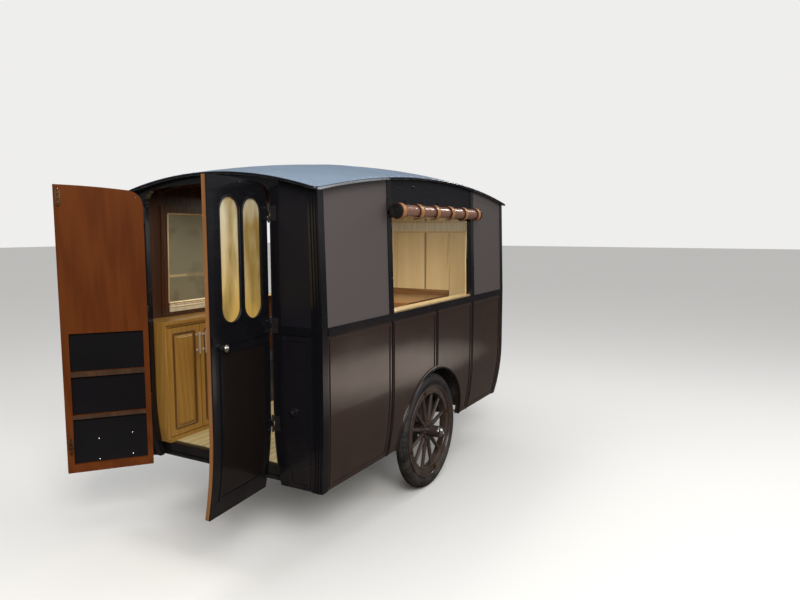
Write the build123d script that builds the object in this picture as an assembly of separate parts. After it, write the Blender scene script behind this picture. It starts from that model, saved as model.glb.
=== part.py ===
# Two-wheel camping trailer of about 1915: a box body with a domed roof, its walls tucked in at the
# bottom, two rear doors that stand open, wooden spoked wheels and a drawbar with its prop stand.
# Millimetres. +X points forward to the coupling, +Y to the left, +Z up.
# Everything is drawn with x = 0 at mid-body, y = 0 on the centreline and z = 0 on the ground.
# The last step moves it all so that the origin is the centre of the coupling's bore.
from build123d import *
import os
from math import atan2, degrees, hypot, radians, sin, sqrt

os.makedirs("parts", exist_ok=True)

# Body
body_length = 2520
body_width = 1384
wall = 30
belt_top = 1233
belt_bottom = 1190
side_bottom = 364
end_bottom = 361
tuck_start = 780
side_tuck = 46
end_tuck = 45
upper_lean = 20
half_length = body_length / 2
half_width = body_width / 2

# Roof
roof_edge_height = 1922
roof_thickness = 14
roof_side_overhang = 28
roof_end_overhang = 45
roof_corner = 40
side_arch_rise = 118
end_arch_rise = 100

# Posts, belt and mouldings
post_side_face = 44
post_end_face = 62
post_proud = 4
rib_width = 9
rib_proud = 9
rib_places = (10, 27, 44)
belt_proud = 7
quarter_post_width = 50
rear_quarter = 710
front_quarter = 648
window_rear = -half_length + rear_quarter
window_front = half_length - front_quarter
window_top = roof_edge_height - 122
seam_offsets = (12, 18)
middle_seam = 30
panel_seams = (window_rear - seam_offsets[0], middle_seam, window_front + seam_offsets[1])
seam = 5
bead_width = 14
bead_proud = 5
bead_margin = 16
port_from_side = 178
port_y = -half_width + port_from_side
port_height = 791
port_plate_radius = 22
port_plate_proud = 8
port_boss_radius = 11
port_boss_proud = 20
port_depth = 5

# Wheels and arches
axle_x = -32
wheel_tuck = 41
track_half = half_width - wheel_tuck
wheel_radius = 381
tyre_width = 76
tyre_base_width = 48
rim_radius = 305
rim_thickness = 12
rim_width = 58
felloe_depth = 42
felloe_width = 46
felloe_bevel = 6
spoke_count = 12
spoke_root_radius = 14
spoke_tip_radius = 11.5
spoke_tenon = 14
spoke_bite = 4
hub_flange_radius = 70
hub_flange_width = 44
hub_barrel_radius = 38
hub_inner_reach = 58
hub_outer_reach = 94
hub_cap_radius = 31
hub_cap_length = 28
hub_cap_waist = 0.6
arch_x = 25
arch_z = 330
arch_radius = 465
arch_lip = 18
housing_board = 12
housing_gap = 30

# Doorway and doors
right_panel_width = 314
left_jamb_width = 144
opening_right = -half_width + right_panel_width
opening_left = half_width - left_jamb_width
opening_top_drop = 37
opening_rise = 60
opening_corner = 95
jamb_width = 57
header_base = roof_edge_height - 132
door_gap = 6
skin = 8
pane_rebate = 8
pane_thickness = 4
pin_offset = 8
pin_radius = 3
pin_clearance = 0.05
knuckle_radius = 6
knuckle_gap = 0.5
knuckle_neck = 3
leaf_length = 40
leaf_thickness = 4
hinge_height = 78
hinge_levels = (713, 1230, roof_edge_height - 121)
right_door_open = 96
left_door_open = 129
door_window_places = (133, 304)
door_window_width = 141
door_window_base = 1285
door_window_top = roof_edge_height - 48
door_panel_margin = 42
door_panel_base = 440
door_panel_top = 1160
door_free_margin = 54
door_belt_inset = 3
knob_place = 382
knob_height = 1175
knob_radius = 19
knob_depth = 13
knob_crown = 0.6
knob_reach = 26
knob_stem_radius = 8
knob_rose_radius = 14
knob_rose_thickness = 3
bolt_width = 26
bolt_thickness = 10
bolt_height = 80
bolt_levels = (505, roof_edge_height - 30)
pocket_levels = (405, 655, 678, 896, 925, 1142)
pocket_hinge_stile = 32
pocket_free_stile = 40
bolt_margin = 12

# Floor, chassis and drawbar
floor_top = 450
deck_thickness = 25
sill_depth = 65
sill_thickness = 40
sill_clearance = 15
rail_y = 470
rail_width = 50
rail_height = 50
drawbar_under_floor = 640
drawbar_rear = half_length - drawbar_under_floor
cross_member_ends = (260, 210)
cross_member_places = (
    -half_length + cross_member_ends[0],
    drawbar_rear,
    half_length - cross_member_ends[1],
)
cross_member_width = 60
cross_member_height = 20
cross_member_overhang = 25
beam_size = 38
beam_height = 285
arm_y = 555
spindle_radius = 16
spindle_clearance = 0.05
collar_radius = 25
collar_gap = 1
spindle_inset = 4
spring_half_length = 400
spring_rise = 40
spring_width = 44
leaf_step = 90
leaf_count = 4
spring_leaf = 6
shoe_length = 32
shoe_inset = 12
shoe_overlap = 14
drawbar_reach = 760
drawbar_leg = 50
drawbar_tip_gap = 105
head_overlap = 110
coupling_bore = 13
coupling_ring = 32
coupling_thickness = 25
head_plate = 12
stand_setback = 380
stand_pivot_height = 272
stand_tilt = 5
stand_leg = 40
stand_foot = 130
stand_foot_thickness = 8
stand_pin = 7
stand_ear = 8
stand_ear_gap = 2
stand_ear_radius = 20
stand_plate_half = 35

# Inside
cabinet_length = 534
cabinet_from_rear = 45
cabinet_rear = -half_length + cabinet_from_rear
cabinet_front = cabinet_rear + cabinet_length
cabinet_depth = 222
cabinet_face_y = half_width - cabinet_depth
cabinet_top = 1180
cabinet_board = 16
counter_top_board = 20
counter_lip = 12
cabinet_door_base = 480
cabinet_door_thickness = 18
cabinet_door_gap = 5
cabinet_panel_margin = 42
cabinet_panel_sunk = 6
cabinet_panel_border = 16
cabinet_pin_bite = 20
cabinet_pin_seat = 2
shelf_setback = 12
shelf_thickness = 14
front_counter_depth = 765
front_counter_length = 920
front_counter_rear = half_length - front_counter_depth
front_counter_right = half_width - front_counter_length
front_counter_top = 1163
mirror_length = 452
mirror_setback = 143
mirror_rear = cabinet_rear + mirror_setback
mirror_front = mirror_rear + mirror_length
mirror_base = 1186
mirror_top = roof_edge_height - 54
mirror_frame_width = 52
mirror_rail_height = 78
mirror_frame_thickness = 14
mirror_glass_thickness = 8

# Rolled side curtains
roll_radius = 45
roll_stand_off = 50
roll_y = -half_width - roll_stand_off
roll_height = window_top + 25
roll_past_window = 62
roll_short_of_window = 32
roll_rear = window_rear - roll_past_window
roll_front = window_front - roll_short_of_window
strap_end_margins = (32, 55)
strap_first = roll_rear + strap_end_margins[0]
strap_last = roll_front - strap_end_margins[1]
strap_count = 6
strap_pitch = (strap_last - strap_first) / (strap_count - 1)
strap_width = 46
strap_thickness = 3
strap_tail_base = 4
strap_tail_top = 54

coupling_x = half_length + drawbar_reach
stand_x = coupling_x - stand_setback
rail_top = floor_top - deck_thickness
rail_bottom = rail_top - rail_height
leg_top = rail_bottom - cross_member_height
leg_bottom = leg_top - drawbar_leg
coupling_height = (leg_top + leg_bottom) / 2
to_coupling = Pos(-coupling_x, 0, -coupling_height)
far = 3000
overlap = 1
dome_reach = 200


# Helpers
def block(x0, x1, y0, y1, z0, z1):
    """A box between two corners."""
    return Pos((x0 + x1) / 2, (y0 + y1) / 2, (z0 + z1) / 2) * Box(x1 - x0, y1 - y0, z1 - z0)


def levels(z0, z1):
    return block(-far, far, -far, far, z0, z1)


def across(shape):
    """The same piece on the other side of the centreline."""
    return mirror(shape, about=Plane.XZ)


def tube_y(x, z, radius, y0, y1):
    """A cylinder along Y."""
    return Pos(x, (y0 + y1) / 2, z) * Rot(90, 0, 0) * Cylinder(radius, y1 - y0)


def tube_x(y, z, radius, x0, x1):
    """A cylinder along X."""
    return Pos((x0 + x1) / 2, y, z) * Rot(0, 90, 0) * Cylinder(radius, x1 - x0)


def tube_z(x, y, radius, z0, z1):
    """A cylinder along Z."""
    return Pos(x, y, (z0 + z1) / 2) * Cylinder(radius, z1 - z0)


def closed(*lines):
    """A face from lines and arcs that join end to end."""
    return Face(Wire([edge for line in lines for edge in line.edges()]))


def save(node, *pieces):
    placed = [to_coupling * piece for piece in pieces]
    shape = placed[0] if len(placed) == 1 else Compound(placed)
    export_step(shape, f"parts/{node}.step")


def pair(node, *pieces):
    """Save pieces of the right side with their mirror images."""
    save(node, *pieces, *[across(piece) for piece in pieces])


# Outer form: walls upright from belt to tuck, leaning in above the belt and tucked in at the bottom
def wall_profile(half_span, tuck, lean, grow):
    edge = half_span + grow
    half = [
        Line((edge - lean, far), (edge - lean, roof_edge_height)),
        Line((edge - lean, roof_edge_height), (edge, belt_top)),
        Line((edge, belt_top), (edge, tuck_start)),
        TangentArc((edge, tuck_start), (edge - tuck, end_bottom), tangent=(0, -1)),
    ]
    other = [mirror(line, about=Plane.YZ) for line in half]
    top = Line((edge - lean, far), (-edge + lean, far))
    base = Line((edge - tuck, end_bottom), (-edge + tuck, end_bottom))
    return closed(*half, *other, top, base)


def side_form(grow):
    """All that lies between the two side walls' outer faces, grown sideways."""
    profile = wall_profile(half_width, side_tuck, upper_lean, grow)
    return extrude(Plane.YZ * profile, amount=far, both=True)


def end_form(grow):
    """All that lies between the front and rear walls' outer faces, grown lengthways."""
    profile = wall_profile(half_length, end_tuck, 0, grow)
    return extrude(Plane.XZ * profile, amount=far, both=True)


def arc_radius(half_span, rise):
    return (half_span**2 + rise**2) / (2 * rise)


roof_half_length = half_length + roof_end_overhang
roof_half_width = half_width - upper_lean + roof_side_overhang
crown = roof_edge_height + side_arch_rise + end_arch_rise
side_curve = arc_radius(roof_half_length, side_arch_rise)
end_curve = arc_radius(roof_half_width, end_arch_rise)


def dome(drop):
    """All that lies below the roof's outer surface moved down by a drop."""
    reach = roof_half_width + dome_reach
    top = crown - drop
    shoulder = top - end_curve + sqrt(end_curve**2 - reach**2)
    arc = ThreePointArc((-reach, shoulder), (0, top), (reach, shoulder))
    sides = Polyline((reach, shoulder), (reach, 0), (-reach, 0), (-reach, shoulder))
    section = Plane.YZ * closed(arc, sides)
    centre = Axis((0, 0, crown - side_curve), (0, 1, 0))
    turn = degrees(atan2(roof_half_length + dome_reach, side_curve - crown))
    return revolve(section.rotate(centre, -turn), centre, 2 * turn)


under_roof = dome(roof_thickness)
side_outer = side_form(0)
side_inner = side_form(-wall)
end_outer = end_form(0)
end_inner = end_form(-wall)
inside = side_inner & end_inner & under_roof
side_bay = end_form(-post_side_face)
end_bay = side_form(-post_end_face)
right_half = block(-far, far, -far, 0, 0, far)
rear_half = block(-far, 0, -far, far, 0, far)
front_half = block(0, far, -far, far, 0, far)
side_wall = (side_outer - side_inner) & side_bay & under_roof & right_half
side_bead = (side_form(bead_proud) - side_outer) & side_bay & right_half
end_wall = (end_outer - end_inner) & end_bay & under_roof
end_bead = (end_form(bead_proud) - end_outer) & end_bay

# Corner posts with ribbed end faces, and quarter posts beside the side windows
post_walls = side_form(post_proud) & end_form(post_proud) & under_roof
for place in rib_places:
    rib = side_form(-place) - side_form(-place - rib_width)
    post_walls += rib & end_form(rib_proud) & under_roof
corner_posts = (post_walls - inside - side_bay - end_bay).solids()
save("corner_posts", *corner_posts)
proud_side = (side_form(post_proud) - side_inner) & side_bay & under_roof & right_half
quarter_places = (window_rear - quarter_post_width, window_front)
quarter_bays = [block(x, x + quarter_post_width, -far, 0, belt_top, far) for x in quarter_places]
pair("quarter_posts", *[proud_side & bay for bay in quarter_bays])

# Upper side panels
upper_rear = side_wall & block(-far, quarter_places[0], -far, 0, belt_top, far)
upper_front = side_wall & block(window_front + quarter_post_width, far, -far, 0, belt_top, far)
header_panel = side_wall & block(window_rear, window_front, -far, 0, window_top, far)
pair("upper_rear_panels", upper_rear)
pair("upper_front_panels", upper_front)
pair("curtain_header_panels", header_panel)

# Lower side panels, each with its raised bead, and the wheel arch cut through the middle pair
arch_void = tube_y(arch_x, arch_z, arch_radius, -far, far)
lip_zone = tube_y(arch_x, arch_z, arch_radius + arch_lip, -far, far)
lower_bounds = (-far, *panel_seams, far)


def side_zone(index, inset):
    """The bay of one lower side panel, drawn in from its edges."""
    bay = block(
        lower_bounds[index] + seam / 2 + inset,
        lower_bounds[index + 1] - seam / 2 - inset,
        -far,
        0,
        side_bottom + inset,
        belt_bottom - inset,
    )
    return bay & end_form(-post_side_face - inset)


def lower_panel(index):
    bead = side_bead & (side_zone(index, bead_margin) - side_zone(index, bead_margin + bead_width))
    panel = (side_wall & side_zone(index, 0)) + bead
    if index in (1, 2):
        panel += side_bead & side_zone(index, 0) & lip_zone
        panel -= arch_void
    return panel


pair("lower_rear_panels", lower_panel(0))
pair("lower_arch_panels", lower_panel(1), lower_panel(2))
pair("lower_front_panels", lower_panel(3))

# Front panels
front_wall = end_wall & front_half


def end_zone(y0, y1, inset):
    """The bay of a lower panel at an end, drawn in from its edges."""
    bay = block(-far, far, y0 + inset, y1 - inset, end_bottom + inset, belt_bottom - inset)
    return bay & side_form(-post_end_face - inset)


front_frame = end_zone(-far, far, bead_margin) - end_zone(-far, far, bead_margin + bead_width)
save("front_upper_panel", front_wall & levels(belt_top, far))
save("front_lower_panel", (front_wall & levels(0, belt_bottom)) + (end_bead & front_half & front_frame))

# Doorway
opening_peak = roof_edge_height + end_arch_rise - roof_thickness - opening_top_drop
opening_curve = arc_radius(roof_half_width, opening_rise)


def doorway_face(inset):
    """The doorway's outline with its arched top, drawn in by a gap all round."""
    right = opening_right + inset
    left = opening_left - inset

    def level(y):
        return opening_peak - inset - opening_curve + sqrt(opening_curve**2 - y**2)

    arc = ThreePointArc((right, level(right)), (0, level(0)), (left, level(left)))
    sides = Polyline((left, level(left)), (left, 0), (right, 0), (right, level(right)))
    face = closed(arc, sides)
    top_corners = face.vertices().sort_by(Axis.Y)[-2:]
    return fillet(top_corners, opening_corner - inset)


def rear_prism(face):
    return extrude(Plane.YZ * face, amount=far, both=True) & rear_half


rear_wall = (end_wall & rear_half) - rear_prism(doorway_face(0))
jamb_edge = opening_right - jamb_width
right_field = block(-far, 0, -far, jamb_edge, 0, far)
rear_upper = rear_wall & right_field & levels(belt_top, far)
rear_frame = end_zone(-far, jamb_edge, bead_margin) - end_zone(-far, jamb_edge, bead_margin + bead_width)
port_x = (-half_length - port_plate_proud, -half_length + port_depth)
port = tube_x(port_y, port_height, port_plate_radius, *port_x)
port += tube_x(port_y, port_height, port_boss_radius, -half_length - port_boss_proud, -half_length)
rear_lower = (rear_wall & right_field & levels(0, belt_bottom)) + (end_bead & rear_half & rear_frame) + port
save("rear_right_upper_panel", rear_upper)
save("rear_right_lower_panel", rear_lower)
save("door_jambs", *(rear_wall & block(-far, 0, jamb_edge, far, 0, header_base)).solids())
save("door_header", rear_wall & block(-far, 0, jamb_edge, far, header_base, far))

# Belt rail
belt_side = (side_form(belt_proud) - side_inner) & side_bay & right_half & levels(belt_bottom, belt_top)
belt_end = (end_form(belt_proud) - end_inner) & end_bay & levels(belt_bottom, belt_top)
save("belt_rail", belt_side, across(belt_side), belt_end & front_half, belt_end & right_field)

# Roof
roof_plan = extrude(RectangleRounded(2 * roof_half_length, 2 * roof_half_width, roof_corner), amount=far)
save("roof", (dome(0) - under_roof) & roof_plan)

# Wheel housings, floor deck and end sills
housing_face = track_half - tyre_width / 2 - housing_gap
housing_form = tube_y(arch_x, arch_z, arch_radius + housing_board, -far, -housing_face + housing_board)
housing_form = housing_form & inside & levels(rail_top, far)
housing = housing_form - (arch_void & block(-far, far, -far, -housing_face, 0, far))
pair("wheel_housings", housing)
sill_band = levels(floor_top - sill_depth, floor_top)
rear_sill_face = wall + sill_clearance
deck_form = end_form(-rear_sill_face - sill_thickness) + (end_form(-wall - sill_thickness) & front_half)
rear_sill = (end_form(-rear_sill_face) - end_form(-rear_sill_face - sill_thickness)) & rear_half
front_sill = (end_inner - end_form(-wall - sill_thickness)) & front_half
save("end_sills", rear_sill & side_inner & sill_band, front_sill & side_inner & sill_band)
deck = side_inner & deck_form & levels(rail_top, floor_top)
save("floor_deck", deck - housing_form - across(housing_form))

# Hinges: a leaf with two knuckles and the pin on the jamb, a leaf with one knuckle on the door
hinge_x = -half_length - pin_offset
leaf_band = end_form(leaf_thickness) - end_outer
knuckle_height = hinge_height / 3


def knuckle(y, z0, z1, toward):
    """A knuckle with its neck, which joins it to the leaf on one side."""
    neck_end = y + toward * (knuckle_radius + knuckle_neck)
    neck = block(hinge_x, -half_length + overlap, min(y, neck_end), max(y, neck_end), z0, z1)
    return tube_z(hinge_x, y, knuckle_radius, z0, z1) + neck


def jamb_leaf(y, level, toward):
    z0 = level - hinge_height / 2
    z1 = level + hinge_height / 2
    near = y + toward * (knuckle_radius + knuckle_gap)
    end = y + toward * leaf_length
    leaf = leaf_band & block(-far, 0, min(near, end), max(near, end), z0, z1)
    top = knuckle(y, z1 - knuckle_height, z1, toward)
    low = knuckle(y, z0, z0 + knuckle_height, toward)
    neck_trim = end_outer & rear_half
    return leaf + (top - neck_trim) + (low - neck_trim) + tube_z(hinge_x, y, pin_radius, z0, z1)


def door_leaf(y, level, toward):
    z0 = level - hinge_height / 2
    z1 = level + hinge_height / 2
    near = y + toward * (knuckle_radius + knuckle_gap)
    end = y + toward * leaf_length
    leaf = leaf_band & block(-far, 0, min(near, end), max(near, end), z0, z1)
    mid = knuckle(y, z0 + knuckle_height + knuckle_gap, z1 - knuckle_height - knuckle_gap, toward)
    mid -= tube_z(hinge_x, y, pin_radius + pin_clearance, z0, z1)
    return leaf + (mid - (end_outer & rear_half))


right_hinge_y = opening_right + door_gap / 2
left_hinge_y = opening_left - door_gap / 2
jamb_leaves = [jamb_leaf(right_hinge_y, level, -1) for level in hinge_levels]
jamb_leaves += [jamb_leaf(left_hinge_y, level, 1) for level in hinge_levels]
save("hinge_plates", *jamb_leaves)

# Doors, drawn closed and then turned to where they stand
door_width = (left_hinge_y - right_hinge_y) / 2 - door_gap / 2
door_prism = rear_prism(doorway_face(door_gap)) & levels(end_bottom, far)
skin_inner = end_form(-skin)
door_solid = (end_outer - end_inner) & under_roof & door_prism


def door_half(hinge_y, toward):
    """One door's share of the doorway, its free edge trimmed so that it swings clear."""
    reach = hinge_y + toward * 2 * door_width
    sweep = tube_z(hinge_x, hinge_y, door_width, 0, far)
    return sweep & block(-far, 0, min(hinge_y, reach), max(hinge_y, reach), 0, far)


def door_zone(hinge_y, toward, w0, w1, z0, z1):
    """A stretch of a door, measured from its hinge."""
    a = hinge_y + toward * w0
    b = hinge_y + toward * w1
    return block(-far, 0, min(a, b), max(a, b), z0, z1)


def door_mouldings(hinge_y, toward):
    """The belt and the lower panel's bead, raised from the door's outer face."""
    belt_reach = (leaf_length + door_belt_inset, door_width - door_belt_inset)
    belt_zone = door_zone(hinge_y, toward, *belt_reach, belt_bottom, belt_top)
    belt = (end_form(belt_proud) - end_outer) & belt_zone
    edges = (door_panel_margin, door_width - door_free_margin, door_panel_base, door_panel_top)
    ring = door_zone(hinge_y, toward, *edges)
    inner = (edges[0] + bead_width, edges[1] - bead_width, edges[2] + bead_width, edges[3] - bead_width)
    ring -= door_zone(hinge_y, toward, *inner)
    bead = (end_form(bead_proud) - end_outer) & ring
    return belt + bead


def stadium(hinge_y, toward, place, grow):
    """A tall window with round ends, as a prism through the door."""
    height = door_window_top - door_window_base + 2 * grow
    face = SlotOverall(height, door_window_width + 2 * grow, rotation=90)
    middle = (door_window_top + door_window_base) / 2
    return rear_prism(Pos(hinge_y + toward * place, middle) * face)


def opened(piece, hinge_y, angle):
    return piece.rotate(Axis((hinge_x, hinge_y, 0), (0, 0, 1)), angle)


right_half_door = door_half(right_hinge_y, 1)
left_half_door = door_half(left_hinge_y, -1)
right_leaves = [door_leaf(right_hinge_y, level, 1) for level in hinge_levels]
left_leaves = [door_leaf(left_hinge_y, level, -1) for level in hinge_levels]

right_skin = (door_solid - skin_inner) & right_half_door
right_lining = (door_solid & skin_inner) & right_half_door
rebate_band = skin_inner - end_form(-skin - pane_thickness)
right_panes = []
for place in door_window_places:
    window = stadium(right_hinge_y, 1, place, 0)
    rebate = stadium(right_hinge_y, 1, place, pane_rebate) & rebate_band
    right_skin -= window
    right_lining -= window + rebate
    right_panes.append(rebate & rear_half)
right_skin += door_mouldings(right_hinge_y, 1)
for leaf in right_leaves:
    right_skin += leaf
knob_y = right_hinge_y + knob_place
knob_outline = Polyline(
    (0, 0),
    (0, knob_rose_radius),
    (-knob_rose_thickness, knob_rose_radius),
    (-knob_rose_thickness, knob_stem_radius),
    (-knob_reach + knob_depth, knob_stem_radius),
    (-knob_reach + knob_depth / 3, knob_radius),
    (-knob_reach - knob_depth / 3, knob_radius),
    (-knob_reach - knob_depth, knob_radius * knob_crown),
    (-knob_reach - knob_depth, 0),
    (0, 0),
)
knob = Pos(-half_length, knob_y, knob_height) * revolve(closed(knob_outline), Axis.X)
save("door_right_skin", opened(right_skin, right_hinge_y, right_door_open))
save("door_right_lining", opened(right_lining, right_hinge_y, right_door_open))
save("door_right_panes", *[opened(pane, right_hinge_y, right_door_open) for pane in right_panes])
save("door_right_knob", opened(knob, right_hinge_y, right_door_open))

left_skin = ((door_solid - skin_inner) & left_half_door) + door_mouldings(left_hinge_y, -1)
for leaf in left_leaves:
    left_skin += leaf
left_lining = (door_solid & skin_inner) & left_half_door
for z0, z1 in zip(pocket_levels[::2], pocket_levels[1::2]):
    left_lining -= door_zone(left_hinge_y, -1, pocket_hinge_stile, door_width - pocket_free_stile, z0, z1)
save("door_left_skin", opened(left_skin, left_hinge_y, -left_door_open))
save("door_left_lining", opened(left_lining, left_hinge_y, -left_door_open))

bolt_band = end_inner - end_form(-wall - bolt_thickness)
bolt_far = door_width - bolt_margin
bolts = []
for level in bolt_levels:
    half = bolt_height / 2
    zone = door_zone(left_hinge_y, -1, bolt_far - bolt_width, bolt_far, level - half, level + half)
    bolts.append(opened(bolt_band & zone, left_hinge_y, -left_door_open))
save("door_left_bolts", *bolts)

# Wheels, axle and springs
wheel_centre = (axle_x, -track_half, wheel_radius)
tyre_middle = wheel_radius - tyre_width / 2
tyre_section = Pos(0, tyre_middle) * Circle(tyre_width / 2)
tyre_section += Pos(0, (rim_radius + tyre_middle) / 2) * Rectangle(tyre_base_width, tyre_middle - rim_radius)
tyre = revolve(Plane.YZ * tyre_section, Axis.Y)


def drum(radius, half_width_out, half_width_in):
    return tube_y(0, 0, radius, -half_width_out, half_width_in)


felloe_outer = rim_radius - rim_thickness
felloe_inner = felloe_outer - felloe_depth
spindle_bore = drum(spindle_radius + spindle_clearance, far, far)
felloe = drum(felloe_outer, felloe_width / 2, felloe_width / 2) - drum(felloe_inner, far, far)
inner_edges = felloe.edges().filter_by(GeomType.CIRCLE).sort_by(SortBy.RADIUS)[:2]
felloe = chamfer(inner_edges, felloe_bevel)
rim = drum(rim_radius, rim_width / 2, rim_width / 2) - drum(felloe_outer, far, far)
wheel = drum(hub_barrel_radius, hub_outer_reach, hub_inner_reach)
wheel = wheel + drum(hub_flange_radius, hub_flange_width / 2, hub_flange_width / 2) - spindle_bore
spoke_start = hub_flange_radius - spoke_tenon
spoke_length = felloe_inner + spoke_bite - spoke_start
spoke = Pos(0, 0, spoke_start + spoke_length / 2) * Cone(spoke_root_radius, spoke_tip_radius, spoke_length)
for index in range(spoke_count):
    wheel += Rot(0, (index + 0.5) * 360 / spoke_count, 0) * spoke
wheel = wheel + (felloe + rim)
cap_section = Polyline(
    (-hub_outer_reach, 0),
    (-hub_outer_reach, hub_cap_radius),
    (-hub_outer_reach - hub_cap_length * hub_cap_waist, hub_cap_radius),
    (-hub_outer_reach - hub_cap_length, hub_cap_radius * hub_cap_waist),
    (-hub_outer_reach - hub_cap_length, 0),
    (-hub_outer_reach, 0),
)
hub_cap = revolve(Plane.YZ * closed(cap_section), Axis.Y)
at_wheel = Pos(*wheel_centre)
for side, name in ((lambda piece: piece, "right"), (across, "left")):
    save(f"tyre_{name}", side(at_wheel * tyre))
    save(f"wheel_{name}", side(at_wheel * wheel))
    save(f"hub_cap_{name}", side(at_wheel * hub_cap))

beam_top = beam_height + beam_size / 2
beam = block(axle_x - beam_size / 2, axle_x + beam_size / 2, -arm_y, 0, beam_height - beam_size / 2, beam_top)
arm_top = wheel_radius + beam_size / 2
arm = block(
    axle_x - beam_size / 2,
    axle_x + beam_size / 2,
    -arm_y - beam_size / 2,
    -arm_y + beam_size / 2,
    beam_height - beam_size / 2,
    arm_top,
)
arm_face = -arm_y - beam_size / 2
collar_end = -track_half + hub_inner_reach + collar_gap
spindle_end = -track_half - hub_outer_reach + spindle_inset
spindle = tube_y(axle_x, wheel_radius, spindle_radius, spindle_end, arm_face)
collar = tube_y(axle_x, wheel_radius, collar_radius, collar_end, arm_face)
half_axle = beam + arm + spindle + collar
save("axle", half_axle + across(half_axle))

spring_curve = arc_radius(spring_half_length, spring_rise)
spring_centre = beam_top + leaf_count * spring_leaf + spring_curve
spring = Part()
for index in range(leaf_count):
    outer = spring_curve + (index + 1) * spring_leaf
    reach = spring_half_length - index * leaf_step
    band = tube_y(axle_x, spring_centre, outer, -rail_y - spring_width / 2, -rail_y + spring_width / 2)
    band -= tube_y(axle_x, spring_centre, outer - spring_leaf, -far, far)
    spring += band & block(axle_x - reach, axle_x + reach, -far, far, 0, spring_centre)
spring_end_height = spring_centre - sqrt(spring_curve**2 - spring_half_length**2)
spring_lane = block(-far, far, -rail_y - rail_width / 2, -rail_y + rail_width / 2, 0, far)
shoe_base = spring_end_height - shoe_overlap
for end in (-1, 1):
    shoe_x = axle_x + end * (spring_half_length - shoe_inset)
    shoe = block(shoe_x - shoe_length / 2, shoe_x + shoe_length / 2, -far, far, shoe_base, rail_bottom)
    spring += shoe & spring_lane
pair("leaf_springs", spring)

# Chassis rails, cross members, drawbar legs and coupling
rail_form = end_form(-rear_sill_face - sill_thickness) & levels(rail_bottom, rail_top)
rail = rail_form & block(-far, far, -rail_y - rail_width / 2, -rail_y + rail_width / 2, 0, far)
pair("chassis_rails", rail)
member_half = rail_y + rail_width / 2 + cross_member_overhang
members = []
for place in cross_member_places:
    low_x = place - cross_member_width / 2
    members.append(block(low_x, low_x + cross_member_width, -member_half, member_half, leg_top, rail_bottom))
save("cross_members", *members)

tip_x = coupling_x
leg_run = tip_x - drawbar_rear
leg_angle = degrees(atan2(rail_y, leg_run))
leg_length = hypot(leg_run, rail_y)
leg = block(-cross_member_width, leg_length, -drawbar_leg / 2, drawbar_leg / 2, leg_bottom, leg_top)
leg = Pos(drawbar_rear, -rail_y, 0) * Rot(0, 0, leg_angle) * leg
leg = leg & block(-far, tip_x - drawbar_tip_gap, -far, 0, 0, far)
pair("drawbar_legs", leg)

plate_rear = drawbar_tip_gap + head_overlap
plate_half = plate_rear * rail_y / leg_run + drawbar_leg / 2
plate_outline = Polyline(
    (-plate_rear, -plate_half),
    (-drawbar_tip_gap / 2, -coupling_ring),
    (-drawbar_tip_gap / 2, coupling_ring),
    (-plate_rear, plate_half),
    (-plate_rear, -plate_half),
)
head = extrude(closed(plate_outline), amount=drawbar_leg + 2 * head_plate)
head = Pos(tip_x, 0, leg_bottom - head_plate) * head
head -= block(-far, tip_x - drawbar_tip_gap, -far, far, leg_bottom, leg_top)
half_eye = coupling_thickness / 2
neck = block(-drawbar_tip_gap, 0, -coupling_ring, coupling_ring, -half_eye, half_eye)
neck += Cylinder(coupling_ring, coupling_thickness)
head += Pos(tip_x, 0, coupling_height) * neck
head -= tube_z(tip_x, 0, coupling_bore, 0, far)
save("coupling", head)

# Prop stand under the drawbar
stand_width = (tip_x - stand_x) * rail_y / leg_run + drawbar_leg / 2
ear_inner = stand_leg / 2 + stand_ear_gap
plate_x = (stand_x - stand_plate_half, stand_x + stand_plate_half)
bracket = block(*plate_x, -stand_width, stand_width, leg_bottom - stand_ear, leg_bottom)
ear_x = (stand_x - stand_ear_radius, stand_x + stand_ear_radius)
for side in (-1, 1):
    y0 = min(side * ear_inner, side * (ear_inner + stand_ear))
    ear = block(*ear_x, y0, y0 + stand_ear, stand_pivot_height, leg_bottom - stand_ear)
    ear += tube_y(stand_x, stand_pivot_height, stand_ear_radius, y0, y0 + stand_ear)
    bracket += ear
bracket += tube_y(stand_x, stand_pivot_height, stand_pin, -ear_inner - stand_ear, ear_inner + stand_ear)
save("stand_bracket", bracket)
leg_round = stand_leg / 2
prop = block(-leg_round, leg_round, -leg_round, leg_round, stand_foot_thickness - stand_pivot_height, 0)
prop += tube_y(0, 0, leg_round, -leg_round, leg_round)
prop = Rot(0, -stand_tilt, 0) * prop
foot_shift = stand_pivot_height * sin(radians(stand_tilt))
foot = block(
    foot_shift - stand_foot / 2,
    foot_shift + stand_foot / 2,
    -stand_foot / 2,
    stand_foot / 2,
    -stand_pivot_height,
    stand_foot_thickness - stand_pivot_height,
)
prop = (prop & levels(-stand_pivot_height + stand_foot_thickness / 2, far)) + foot
prop = prop - tube_y(0, 0, stand_pin + pin_clearance, -far, far)
save("prop_stand", Pos(stand_x, 0, stand_pivot_height) * prop)

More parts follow.
